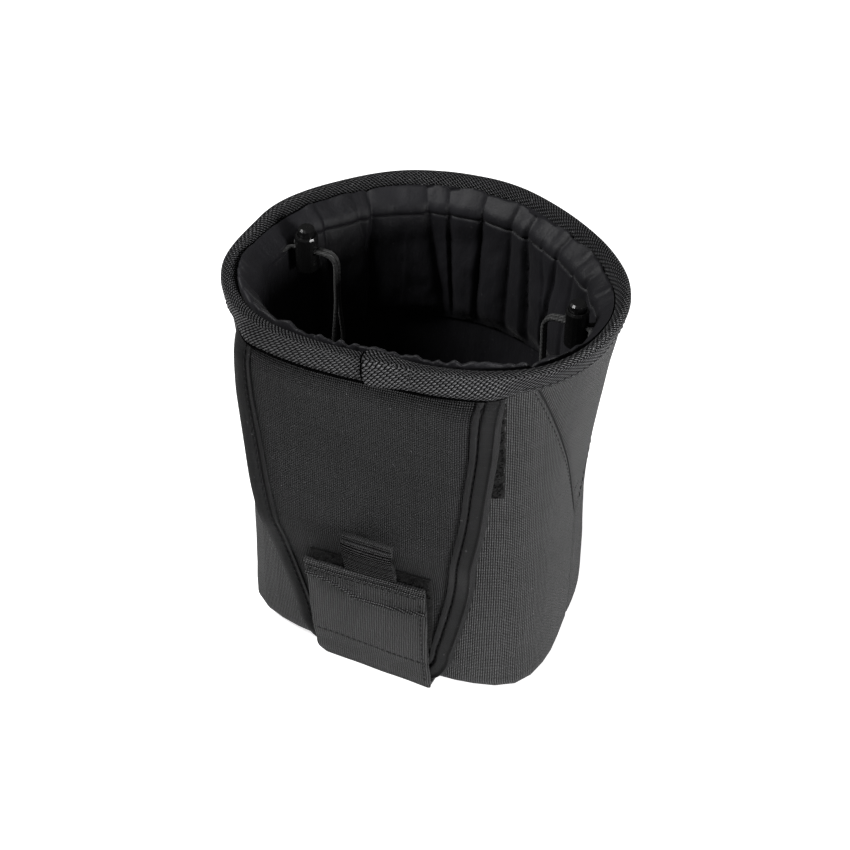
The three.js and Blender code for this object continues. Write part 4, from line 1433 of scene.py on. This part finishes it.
class POUCH_OT_loop_panel(Operator):
    """Wide fuzzy panel on the wall under the flap"""

    bl_idname = "pouch.loop_panel"
    bl_label = "Loop Panel"

    def execute(self, context):
        rng = random.Random(5)
        heights = spread(LOOP_LOW, LOOP_HIGH, 40)
        frays = {z: (rng.uniform(-0.35, 0.35), rng.uniform(-0.35, 0.35)) for z in heights}

        def point(share, z):
            half = LOOP_HALF_PANEL + frays[z][share >= 0] * (abs(share) > 0.99)
            x = share * half
            y = front_y(x, z, 0.35)
            edge = min(half - abs(x), z - LOOP_LOW, LOOP_HIGH - z)
            thick = 0.7 + 0.5 * ease(edge / 1.5) + 0.12 * ripple(x, y, z, 1.6)
            return (x, front_y(x, z, 0.35 + thick), z), (x, y, z), (x, z)

        skin = Skin()
        skin.leaf([[point(share, z) for share in spread(-1, 1, 60)] for z in heights])
        strips = ((-50.9, -42.0), (42.0, 50.9))
        reach = (LOOP_LOW + 0.4, LOOP_HIGH - 0.4)
        tufts(skin, 7, strips, reach, lambda x, z: front_y(x, z, 1.5), count=900)
        skin.build("loop_panel", loop_pile(), "bag", ("wall_loop_panel",), "hook_and_loop")
        return {"FINISHED"}


class POUCH_OT_side_tag(Operator):
    """Small plain folded tag under the rim tape"""

    bl_idname = "pouch.side_tag"
    bl_label = "Side Tag"

    def execute(self, context):
        low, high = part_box("side_tag")
        middle = math.atan2((low.y + high.y) / 2 / MM - WIDEST_Y[1], (low.x + high.x) / 2 / MM)
        foot = low.z / MM

        def point(place, z):
            t = (TAG_TOP - z) / (TAG_TOP - foot)
            angle = middle + place / TAG_RADIUS
            lift = 0.9 + 1.6 * t * t + 0.25 * math.cos(place * 0.4)
            return body_point(angle, z, lift + 0.55), body_point(angle, z, lift - 0.1), (place, z)

        skin = Skin()
        skin.leaf([[point(place, z) for place in spread(-6.0, 6.0, 9)] for z in spread(foot, TAG_TOP, 10)])
        piece = skin.build("side_tag_fold", tag_cloth(), "bag", ("side_tag",), "tag")
        soften(piece, 0.0002)
        return {"FINISHED"}


def soften(piece, width):
    """Rounds a piece's edges; width is in metres."""
    bevel = piece.modifiers.new("soft_edges", "BEVEL")
    bevel.width = width
    bevel.segments = 2
    bevel.limit_method = "ANGLE"
    bevel.angle_limit = math.radians(50)


# Collar


class Creases:
    """The sharp folds between the collar's puffs: angle, depth, width and slant of each."""

    def __init__(self, count):
        rng = random.Random(11)
        # The creases that show at the far right of the mouth
        self.folds = [(70.7, 1.0, 3.2, -0.10), (51.0, 0.8, 2.2, 0.12), (29.0, 0.9, 3.0, -0.15)]
        self.folds += [(38.0, 0.35, 1.6, 0.05), (61.0, 0.4, 2.0, -0.2), (17.5, 0.45, 1.8, 0.1)]
        step = 360.0 / count
        for k in range(count):
            angle = 80.0 + k * step + rng.uniform(-0.35, 0.35) * step
            if 15.0 < angle % 360.0 < 76.0:
                continue
            self.folds.append(
                (angle % 360.0, rng.uniform(0.35, 1.0), rng.uniform(1.4, 3.4), rng.uniform(-0.2, 0.2))
            )

    def puff(self, angle, z):
        """1 in the middle of a puff and 0 in the bottom of a deep crease."""
        degrees = math.degrees(angle) % 360.0
        depth = 0.0
        for place, deep, width, slant in self.folds:
            offset = (degrees - place - slant * (HEM_HEIGHT - z) + 180.0) % 360.0 - 180.0
            if abs(offset) < 14:
                wide = width * (1 + (HEM_HEIGHT - z) / 60.0) * (1.4 if offset < 0 else 0.4)
                depth = max(depth, deep * math.exp(-abs(offset) / wide))
        return 1.0 - depth


def calm(angle):
    """0 at the two cord locks and 1 away from them."""
    degrees = math.degrees(angle) % 180.0
    holes = (HOLE_DEGREES, 180.0 - HOLE_DEGREES, 180.0 + HOLE_DEGREES, -HOLE_DEGREES)
    away = min(abs(degrees - hole) for hole in holes)
    return ease((away - 7.0) / 8.0)


def collar_inset(creases, angle, z):
    t = (z - COLLAR_LOW) / (COLLAR_HIGH - COLLAR_LOW)
    x, y, _ = body_point(angle, z)
    puff = creases.puff(angle, z) * calm(angle)
    swell = (1.9 + 2.2 * math.sin(math.pi * min(t, 1.0) ** 0.8)) * puff
    loose = 0.5 * ripple(x, y, z, 12) + 0.25 * ripple(x, y, z, 5)
    gather = 1.5 * ease((t - 0.72) / 0.28)
    return 6.5 + (swell + 0.5 + loose * calm(angle)) * ease(t * 6 + 0.1) + gather


def casing_top(creases, angle):
    """The casing stands higher on the near side, and dips at each crease."""
    near = ease((0.35 - math.sin(angle)) / 1.2)
    lumps = 1.5 * (creases.puff(angle, HEM_HEIGHT) - 0.5)
    lumps += 1.3 * round_noise(angle, 6.5, 4.4) + 2.4 * near * round_noise(angle, 17.0, 2.1)
    return mix(157.2, 161.4, near) + lumps * mix(0.3, 1.0, calm(angle))


class POUCH_OT_collar(Operator):
    """Gathered collar and the casing along its edge"""

    bl_idname = "pouch.collar"
    bl_label = "Collar"

    def execute(self, context):
        creases = Creases(context.scene.pouch_sizes.collar_creases)
        angles = turns(640)
        self.cloth(creases, angles)
        self.casing(creases, angles)
        return {"FINISHED"}

    def cloth(self, creases, angles):
        heights = spread(COLLAR_LOW, COLLAR_HIGH, 34)
        rows = []
        for depth, order in ((0.0, heights), (COLLAR_THICKNESS, heights[::-1])):
            for z in order:
                rows.append([body_point(a, z, -collar_inset(creases, a, z) - depth) for a in angles])
        rows.append(rows[0])
        cloth = level_cloth(rows)
        skin = Skin()
        skin.grid(rows, cloth, closed=True)
        piece = skin.build("collar_cloth", lining_cloth(), None, ("dry_collar",), "lining", sharp=80)
        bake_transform(piece)

    def casing(self, creases, angles):
        """A flat tube of doubled cloth round the cord, wavy along its top."""
        rows, cloth = [], []
        back = 4.4
        for angle, turn in zip(angles + angles[:1], angles + [TAU]):
            puff = creases.puff(angle, HEM_HEIGHT)
            quiet = calm(angle)
            top = casing_top(creases, angle)
            x, y, _ = body_point(angle, HEM_HEIGHT)
            lean = (0.8 * ripple(x, y, 7.0, 9) + 0.5) * quiet
            thick = mix(4.9, 4.4 + 1.8 * puff, quiet)
            flush = mix(back + thick, collar_inset(creases, angle, COLLAR_HIGH) + 0.75, quiet)
            pleat = quiet * (1.5 * (puff - 0.45) + 0.7 * ripple(x, y, 11.0, 4.5))
            section = [
                (back + 0.6, 147.0),
                (back + 0.1, 148.4),
                (back, 150.2),
                (back, 152.4),
                (back + 0.1, mix(152.4, top, 0.6)),
                (back + 0.2 + 0.2 * lean, top - 0.7),
                (back + 0.6 + 0.5 * lean, top - 0.1),
                (back + 1.2 + 0.7 * lean + 0.3 * pleat, top - 0.5),
                (back + 2.0 + 0.7 * lean + 0.8 * pleat, mix(152.4, top, 0.66)),
                (mix(flush, back + 2.6, 0.35) + 0.3 * lean + 0.7 * pleat, 153.6),
                (flush + 0.15 * pleat, 151.6),
                (flush + 0.1, 150.2),
                (flush, 148.9),
                (flush - 1.0, 148.3),
            ]
            row = [body_point(angle, z + rim_lift(angle) * 0.5, -inset) for inset, z in section]
            rows.append(row)
            cloth.append([(turn * CASING_RADIUS, v) for v in lengths_along(row + row[:1])])
        skin = Skin()
        skin.grid(rows, cloth, closed=True)
        skin.build("collar_casing", lining_cloth(), "hem", ("collar_hem",), "lining", sharp=80)


# Cord locks


class POUCH_OT_locks(Operator):
    """Finishes for the cord locks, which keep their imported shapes"""

    bl_idname = "pouch.locks"
    bl_label = "Cord Locks"

    def execute(self, context):
        looks = {"barrel": lock_plastic(), "plunger": lock_plastic(), "spring": spring_steel()}
        for side in ("right", "left"):
            for part, look in looks.items():
                for place in bpy.data.objects[f"{side}_lock_{part}"].material_slots:
                    place.material = look
        return {"FINISHED"}


# Belt flap


def flap_height(share):
    return mix(FLAP_LOW, FLAP_HIGH, share)


FLAP_HALF_WIDTH = smooth_curve(
    [(FLAP_LOW, 26.0), (flap_height(0.05), 30.6), (flap_height(0.1), 33.6), (flap_height(0.29), 40.2)]
    + [(flap_height(0.48), 45.2), (flap_height(0.65), 49.4), (flap_height(0.87), 53.1), (FLAP_HIGH, 53.3)]
)
# It hangs a little askew: its foot is to the right of its top
FLAP_DRIFT = smooth_curve(
    [(FLAP_LOW, 1.1), (24.0, 1.2), (40.0, 1.0), (60.0, 0.7), (85.0, 0.3), (116.0, -1.1), (150.0, -2.0)]
)
# Distance from the wall to the flap's back, and how closely the flap follows the wall's roundness
FLAP_STANDOFF = smooth_curve(
    [(FLAP_LOW, 0.4), (flap_height(0.1), 1.1), (flap_height(0.29), 1.9), (flap_height(0.385), 3.8)]
    + [(flap_height(0.48), 6.6), (flap_height(0.68), 4.4), (138.0, 3.0), (147.0, 2.2), (FLAP_HIGH, 0.1)]
)
FLAP_FOLLOW = smooth_curve(
    [(FLAP_LOW, 1.0), (flap_height(0.14), 1.0), (flap_height(0.29), 0.62), (flap_height(0.48), 0.12)]
    + [(flap_height(0.68), 0.2), (136.0, 0.55), (147.0, 0.8), (FLAP_HIGH, 1.0)]
)
# The flap's lower half hangs turned a little, its right edge nearer to the wall
FLAP_TURN = smooth_curve(
    [(FLAP_LOW, -0.05), (30.0, -0.01), (60.0, 0.05), (85.0, 0.05), (125.0, 0.0), (FLAP_HIGH, 0.0)]
)
# The edge tape's section: distance in from the edge, and height over the flap's face as a share of the
# roll at the right side, where the band lies flat, and at the left side, where it is round
TAPE_PROFILE = (
    [(8.9, 0.02, 0.02), (8.7, 0.32, 0.30), (8.2, 0.38, 0.34), (7.4, 0.36, 0.22), (6.8, 0.34, 0.17)]
    + [(6.5, 0.14, 0.25), (6.2, 0.04, 0.33), (5.9, 0.16, 0.42), (5.5, 0.46, 0.54), (4.9, 0.54, 0.70)]
    + [(4.1, 0.54, 0.88), (3.2, 0.50, 1.00), (2.2, 0.46, 1.00), (1.5, 0.42, 0.95), (1.1, 0.48, 0.90)]
    + [(0.6, 0.64, 0.72), (0.15, 0.46, 0.42)]
)
TAPE_SEAM = 6
FACE_INSET = 1.3


def flap_back(x, z):
    middle = front_y(0.0, z)
    follow = FLAP_FOLLOW(z) * (front_y(x, z) - middle)
    return middle - FLAP_STANDOFF(z) + follow + FLAP_TURN(z) * x


def flap_edge_distance(x, z):
    """How far a point of the flap is from its edge, with the end's rounded corners."""
    side = FLAP_HALF_WIDTH(z) - abs(x - FLAP_DRIFT(z))
    end = z - FLAP_LOW
    corner = 14.0
    if side < corner and end < corner:
        return corner - math.hypot(corner - side, corner - end)
    return min(side, end)


def flap_front(x, z):
    edge = flap_edge_distance(x, z)
    thick = mix(1.5, 3.3, ease(edge / 15.0)) * mix(1.0, 0.35, ease((z - 142.0) / 9.0))
    soft = 0.45 * ripple(x, 3.0, z, 26) + 0.2 * ripple(x, 8.0, z, 11)
    return flap_back(x, z) - thick - soft * ease((edge - 8) / 12) * ease((152 - z) / 10)


def flap_outline(step):
    """The flap's edge from the top left, round its end, to the top right, as (x, z)."""
    right = [(FLAP_HALF_WIDTH(z), z) for z in spread(153.4, FLAP_LOW + FLAP_CORNER, 60)]
    across = right[-1][0] - FLAP_END_HALF_WIDTH
    for turn in spread(0.0, math.pi / 2, 16)[1:]:
        z = FLAP_LOW + FLAP_CORNER * (1 - math.sin(turn))
        right.append((FLAP_END_HALF_WIDTH + across * math.cos(turn), z))
    left = [(-x, z) for x, z in right]
    return resample([(x + FLAP_DRIFT(z), z) for x, z in left + right[::-1]], step)


def face_half_width(z):
    """Half the width of the flap's cloth, which ends just under the tape."""
    edge = FLAP_HALF_WIDTH(z)
    if z < FLAP_LOW + FLAP_CORNER:
        drop = 1 - (z - FLAP_LOW) / FLAP_CORNER
        wide = FLAP_HALF_WIDTH(FLAP_LOW + FLAP_CORNER) - FLAP_END_HALF_WIDTH
        edge = FLAP_END_HALF_WIDTH + wide * math.sqrt(max(0.0, 1 - drop * drop))
    return edge - FACE_INSET


def hooks(name, node, sides, reach, surface, inner, outer):
    """A hook patch on one of the flap's surfaces, between two depths from it."""

    def point(x, z):
        edge = min(x - sides[0], sides[1] - x, z - reach[0], reach[1] - z)
        fuzz = 0.1 * ripple(x, 1.0, z, 1.3)
        y = surface(x, z)
        return (x, y + mix(inner, outer, ease(edge / 0.8 + 0.5)) + fuzz, z), (x, y + inner * 0.4, z), (x, z)

    skin = Skin()
    skin.leaf([[point(x, z) for x in spread(*sides, 46)] for z in spread(*reach, 40)])
    if outer < 0:
        strips = ((sides[0] + 0.5, sides[1] - 0.5),)
        tufts(skin, 3, strips, (51.0, reach[1] - 0.5), lambda x, z: surface(x, z) + outer, count=420)
    skin.build(name, hook_pile(), "belt_flap", (node,), "hook_and_loop")


class POUCH_OT_flap(Operator):
    """Padded belt flap, its edge tape and its stitches"""

    bl_idname = "pouch.flap"
    bl_label = "Belt Flap"

    def execute(self, context):
        self.bodies()
        self.tape(flap_outline(1.6))
        hooks("flap_hooks", "flap_hook_patch", (-30.0, 30.0), (104.2, 137.8), flap_back, 0.3, 1.25)
        hooks("strap_hooks", "flap_face_strip", (-22.2, 28.0), (23.5, 61.8), flap_front, -0.1, -1.25)
        return {"FINISHED"}

    @staticmethod
    def swing(piece):
        """Bakes the piece's placement into its mesh."""
        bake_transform(piece)

    def bodies(self):
        """Face and back, in rows across the flap."""
        heights = [FLAP_LOW + FACE_INSET, 6.2, 7.4, 9.2, 11.6, 14.5, 18.0]
        heights += spread(22.0, 148.0, 52) + [150.0, 151.6, 153.2]
        shares = [math.sin(math.pi / 2 * s) * 0.35 + s * 0.65 for s in spread(-1, 1, 61)]
        cloth = [[(s * face_half_width(z), z) for s in shares] for z in heights]

        def rows(depth, off):
            places = [[(x + FLAP_DRIFT(z), z) for x, z in line] for line in cloth]
            return [[(x, depth(x, z) - off, z) for x, z in line] for line in places]

        face = Skin()
        face.plate(rows(flap_front, 0.0), rows(flap_back, 0.55), cloth)
        nodes = ("flap_outer_panel", "flap_core")
        piece = face.build("flap_face", flap_cloth(), None, nodes, "shell_fabric")
        self.swing(piece)
        back = Skin()
        back.plate(rows(flap_back, 0.5), rows(flap_back, 0.0), cloth)
        piece = back.build("flap_back_cloth", flap_cloth(), None, ("flap_inner_panel",), "shell_fabric")
        self.swing(piece)

    @staticmethod
    def tape_section(x, z, inward):
        """A padded roll outside a flat sewn band, round the edge and back under the flap."""
        roll = bpy.context.scene.pouch_sizes.tape_roll / MM
        place = Vector((x, z))
        wave = 0.25 * ripple(x, 2.0, z, 13)
        lumps = 1.0 + 0.18 * ripple(x, 5.0, z, 17)
        tall = roll * lumps * mix(1.0, 0.35, ease((z - 143.0) / 9.0))
        right = ease((x + 10.0) / 20.0)
        section = []
        for inset, flat_band, round_band in TAPE_PROFILE:
            px, pz = place + inward * (inset * (1 + 0.04 * wave))
            section.append((px, flap_front(px, pz) - tall * mix(round_band, flat_band, right) - 0.05, pz))
        front, back = flap_front(x, z), flap_back(x, z)
        px, pz = place - inward * (mix(0.75, 0.4, right) + 0.3 * wave)
        section += [(px, mix(front, back, 0.25), pz), (px, mix(front, back, 0.75), pz)]
        px, pz = place - inward * 0.35
        section.append((px, back + 0.45, pz))
        for inset, gap in ((1.5, 0.62), (4.5, 0.6), (7.6, 0.55), (8.4, 0.1)):
            px, pz = place + inward * inset
            section.append((px, flap_back(px, pz) + gap, pz))
        return section

    def tape(self, outline):
        """Tape folded round the flap's sides and end, and the stitches in its seam."""
        last = len(outline) - 1
        rows, cloth = [], []
        for k, ((x, z), run) in enumerate(zip(outline, lengths_along(outline))):
            before, after = outline[max(k - 1, 0)], outline[min(k + 1, last)]
            along = Vector((after[0] - before[0], after[1] - before[1])).normalized()
            inward = Vector((-along.y, along.x))
            if k in (0, last):
                inward = Vector((1.0 if x < 0 else -1.0, 0.0))
            row = self.tape_section(x, z, inward)
            rows.append(row)
            cloth.append([(v, run) for v in lengths_along(row + row[:1])])
        skin = Skin()
        numbers = skin.grid(rows, cloth, closed=True)
        for end in (0, -1):
            middle = tuple(sum(p[c] for p in rows[end]) / len(rows[end]) for c in range(3))
            skin.cap(numbers[end], middle, cloth[end])
        piece = skin.build("flap_tape", smooth_tape(), None, ("flap_binding",), "binding_tape", sharp=70)
        self.swing(piece)
        stitches = Skin()
        seam = [row[TAPE_SEAM] for row in rows if row[TAPE_SEAM][2] < 151.5]
        sew(stitches, seam, ahead, 0.7, 0.1, thickness=1.35)
        piece = stitches.build("flap_stitches", sewing_thread(), None, slot="cord")
        self.swing(piece)


# Strap and tab

STRAP_HALF_WIDTH = smooth_curve(
    [(STRAP_LOW, 24.8), (6.0, 25.6), (24.0, 25.8), (48.0, 25.5), (STRAP_HIGH, 25.3)]
)
STRAP_DRIFT = smooth_curve([(STRAP_LOW, 2.1), (STRAP_HIGH, 0.2)])
# How far below the strap's top edge its crease runs
CREASE_DROP = smooth_curve(
    [(-26.0, 8.4), (-21.0, 8.8), (-12.0, 10.8), (-4.0, 14.6), (7.5, 15.3), (26.0, 13.2)]
)
STRAP_SEAM = 16.3
TAB_LOW = 44.5
TAB_HIGH = 80.4
TAB_HALF_WIDTH = 10.4
TAB_DRIFT = 5.0
TAB_SLOPE = -0.04


def strap_back(x, z):
    """The strap's back lies on the hook strip, and clears the tape near its fold."""
    lifted = mix(0.6, 1.3, ease(z / 20.0))
    low = flap_front(mix(0.5, 0.92, ease(z / 26.0)) * x, max(z, 9.0)) - lifted
    return low + 1.0 * (1 - ease((z - STRAP_LOW) / 5.0))


def strap_ridge(x, z):
    """The folded-over top layer: its two edge ridges, and the crease that runs below it."""
    crease = STRAP_HIGH - CREASE_DROP(x)
    layer = 0.4 * ease((z - crease) / 1.4 + 0.5)
    ridge = 1.5 * bell(z - crease - 0.6, 0.7)
    top = 0.9 * bell(z - STRAP_HIGH + 0.9, 0.7) + 0.85 * bell(z - STRAP_HIGH + 4.2, 0.6)
    groove = -0.5 * bell(z - STRAP_HIGH + 2.6, 0.8)
    lower = 0.28 * bell(z - STRAP_SEAM, 0.6)
    return layer + ridge + top + groove - lower


def strap_face(x, z):
    soft = 0.25 * ripple(x, 4.0, z, 12)
    return strap_back(x, z) - 1.15 - strap_ridge(x, z) - soft


class POUCH_OT_strap(Operator):
    """Webbing strap that folds up over the flap's end, with its fuzzy patch"""

    bl_idname = "pouch.strap"
    bl_label = "Strap"

    def execute(self, context):
        self.leaf()
        self.sewn_end()
        self.loops()
        self.stitches()
        return {"FINISHED"}

    def leaf(self):
        heights = [STRAP_LOW, 1.0, 1.4, 1.8, 2.2, 2.6, 3.0]
        heights += spread(3.4, 37.5, 38) + spread(38.0, STRAP_HIGH, 46)
        shares = [-1, -0.99, -0.97] + spread(-0.94, 0.94, 55) + [0.97, 0.99, 1]

        def point(share, z):
            half = STRAP_HALF_WIDTH(z)
            tooth = 0.16 * math.sin(z * TAU / 1.3) * (abs(share) > 0.985)
            edge = half * (1 - abs(share))
            x = STRAP_DRIFT(z) + share * half + math.copysign(tooth, share)
            corner = 3.0 - edge if share < 0 else 0.0
            height = max(z, STRAP_LOW + max(corner, 0.0) * 0.6)
            front = strap_face(x, height) + 0.35 * bell(edge, 0.5)
            return (x, front, height), (x, strap_back(x, height) - 0.2 * bell(edge, 0.5), height), (x, z)

        skin = Skin()
        skin.leaf([[point(share, z) for share in shares] for z in heights])
        piece = skin.build("strap_leaf", strap_webbing(), None, ("lock_strap",), "webbing")
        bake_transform(piece)

    def sewn_end(self):
        """The end of the strap that is sewn under the flap."""

        def point(x, depth):
            y = strap_back(x, STRAP_LOW) + 0.3 + depth
            return (x, y, 0.65), (x, y, 1.85), (x, depth)

        skin = Skin()
        skin.leaf([[point(x, depth) for x in spread(-22.5, 26.7, 24)] for depth in spread(0.0, 7.8, 9)])
        skin.build("strap_end", strap_webbing(), "belt_flap", ("strap_sewn_end",), "webbing")

    def loops(self):
        def point(x, z):
            y = strap_back(x, z)
            return (x, y + 0.15, z), (x, y + 0.75 + 0.1 * ripple(x, 1.0, z, 1.4), z), (x, z)

        skin = Skin()
        skin.leaf([[point(x, z) for x in spread(-22.1, 24.5, 40)] for z in spread(24.5, 42.5, 20)])
        skin.build("strap_loops", loop_pile(), "strap", ("strap_patch",), "hook_and_loop")

    def stitches(self):
        lines = [[(x, STRAP_SEAM) for x in spread(-24.0, 24.0, 30)]]
        lines.append([(x, STRAP_HIGH - 5.6) for x in spread(-24.5, 24.5, 30)])
        lines.append([(23.6, z) for z in spread(5.0, 49.0, 30)])
        skin = Skin()
        for line in lines:
            moved = [(x + STRAP_DRIFT(z), z) for x, z in line]
            sew(skin, [(x, strap_face(x, z), z) for x, z in moved], ahead, 0.6, -0.02, pitch=2.6)
        skin.build("strap_stitches", sewing_thread(), "strap", slot="cord")


class POUCH_OT_pull_tab(Operator):
    """Ribbed pull tab that stands up behind the strap"""

    bl_idname = "pouch.pull_tab"
    bl_label = "Pull Tab"

    def execute(self, context):
        heights = spread(TAB_LOW, TAB_HIGH, 210)
        shares = [-1, -0.985, -0.95] + spread(-0.9, 0.9, 13) + [0.95, 0.985, 1]
        skin = Skin()
        front = skin.leaf([[self.point(share, z) for share in shares] for z in heights])
        skin.build("tab_leaf", tab_webbing(), "strap", ("pull_tab",), "webbing")
        # Painted shade: near-black threads laid in the valleys between the tab's ribs
        gaps = Skin()
        for z, line in zip(heights, front):
            phase = (z / TAB_RIB) % 1.0
            if min(phase, 1.0 - phase) < 0.061 and 56.0 < z < TAB_HIGH - 4.0:
                gaps.tube([(x, y - 0.5, height) for x, y, height in line[1:-1]], 0.22, sides=5)
        gaps.build("tab_rib_gaps", fold_edge(), "strap", slot="cord")
        return {"FINISHED"}

    @staticmethod
    def point(share, z):
        """A place on the tab's front and back, with its ribs, its folded top, its lean and its bow."""
        rib = 0.8 * abs(math.sin(z * math.pi / TAB_RIB))
        top = 0.5 * bell(z - TAB_HIGH + 0.7, 0.5) + 0.5 * bell(z - TAB_HIGH + 3.0, 0.5)
        half = TAB_HALF_WIDTH * (1 + 0.01 * math.sin(z * 4.2))
        x = TAB_DRIFT - 2.4 * (TAB_HIGH - z) / 30.0 + share * half
        lean = 2.6 * ease((z - 54.0) / 22.0)
        bow = 0.9 * (1 - share * share) * ease((z - 50) / 20)
        arch = 0.8 * (1 - share * share) * ease((z - TAB_HIGH + 8) / 8)
        arch += TAB_SLOPE * (x - TAB_DRIFT) * ease((z - TAB_LOW) / 12)
        y = flap_front(x, z) - 1.35 + 0.25 * bell(1 - abs(share), 0.03)
        return (x, y - 0.75 - rib - top - lean - bow, z + arch), (x, y + 0.3 - lean - bow, z + arch), (x, z)


class POUCH_PT_panel(Panel):
    """Steps that dress the pouch, in order"""

    bl_idname = "POUCH_PT_panel"
    bl_label = "Pouch"
    bl_space_type = "VIEW_3D"
    bl_region_type = "UI"
    bl_category = "Pouch"

    def draw(self, context):
        layout = self.layout
        for step in STEPS:
            layout.operator(step.bl_idname)
        for settings in (context.scene.pouch_sizes, context.scene.pouch_colours, context.scene.studio):
            box = layout.box()
            for key in settings.__annotations__:
                box.prop(settings, key)


STEPS = (
    POUCH_OT_stage,
    POUCH_OT_cords,
    POUCH_OT_walls,
    POUCH_OT_base,
    POUCH_OT_lining,
    POUCH_OT_rim_tape,
    POUCH_OT_loop_panel,
    POUCH_OT_side_tag,
    POUCH_OT_collar,
    POUCH_OT_locks,
    POUCH_OT_flap,
    POUCH_OT_strap,
    POUCH_OT_pull_tab,
)
CLASSES = (PouchSizes, PouchColours, StudioSettings, *STEPS, POUCH_PT_panel)


def register():
    for cls in CLASSES:
        bpy.utils.register_class(cls)
    bpy.types.Scene.pouch_sizes = PointerProperty(type=PouchSizes)
    bpy.types.Scene.pouch_colours = PointerProperty(type=PouchColours)
    bpy.types.Scene.studio = PointerProperty(type=StudioSettings)


def unregister():
    del bpy.types.Scene.studio
    del bpy.types.Scene.pouch_colours
    del bpy.types.Scene.pouch_sizes
    for cls in reversed(CLASSES):
        bpy.utils.unregister_class(cls)


def main():
    register()
    for step in STEPS:
        family, action = step.bl_idname.split(".")
        getattr(getattr(bpy.ops, family), action)()


if __name__ == "__main__":
    main()
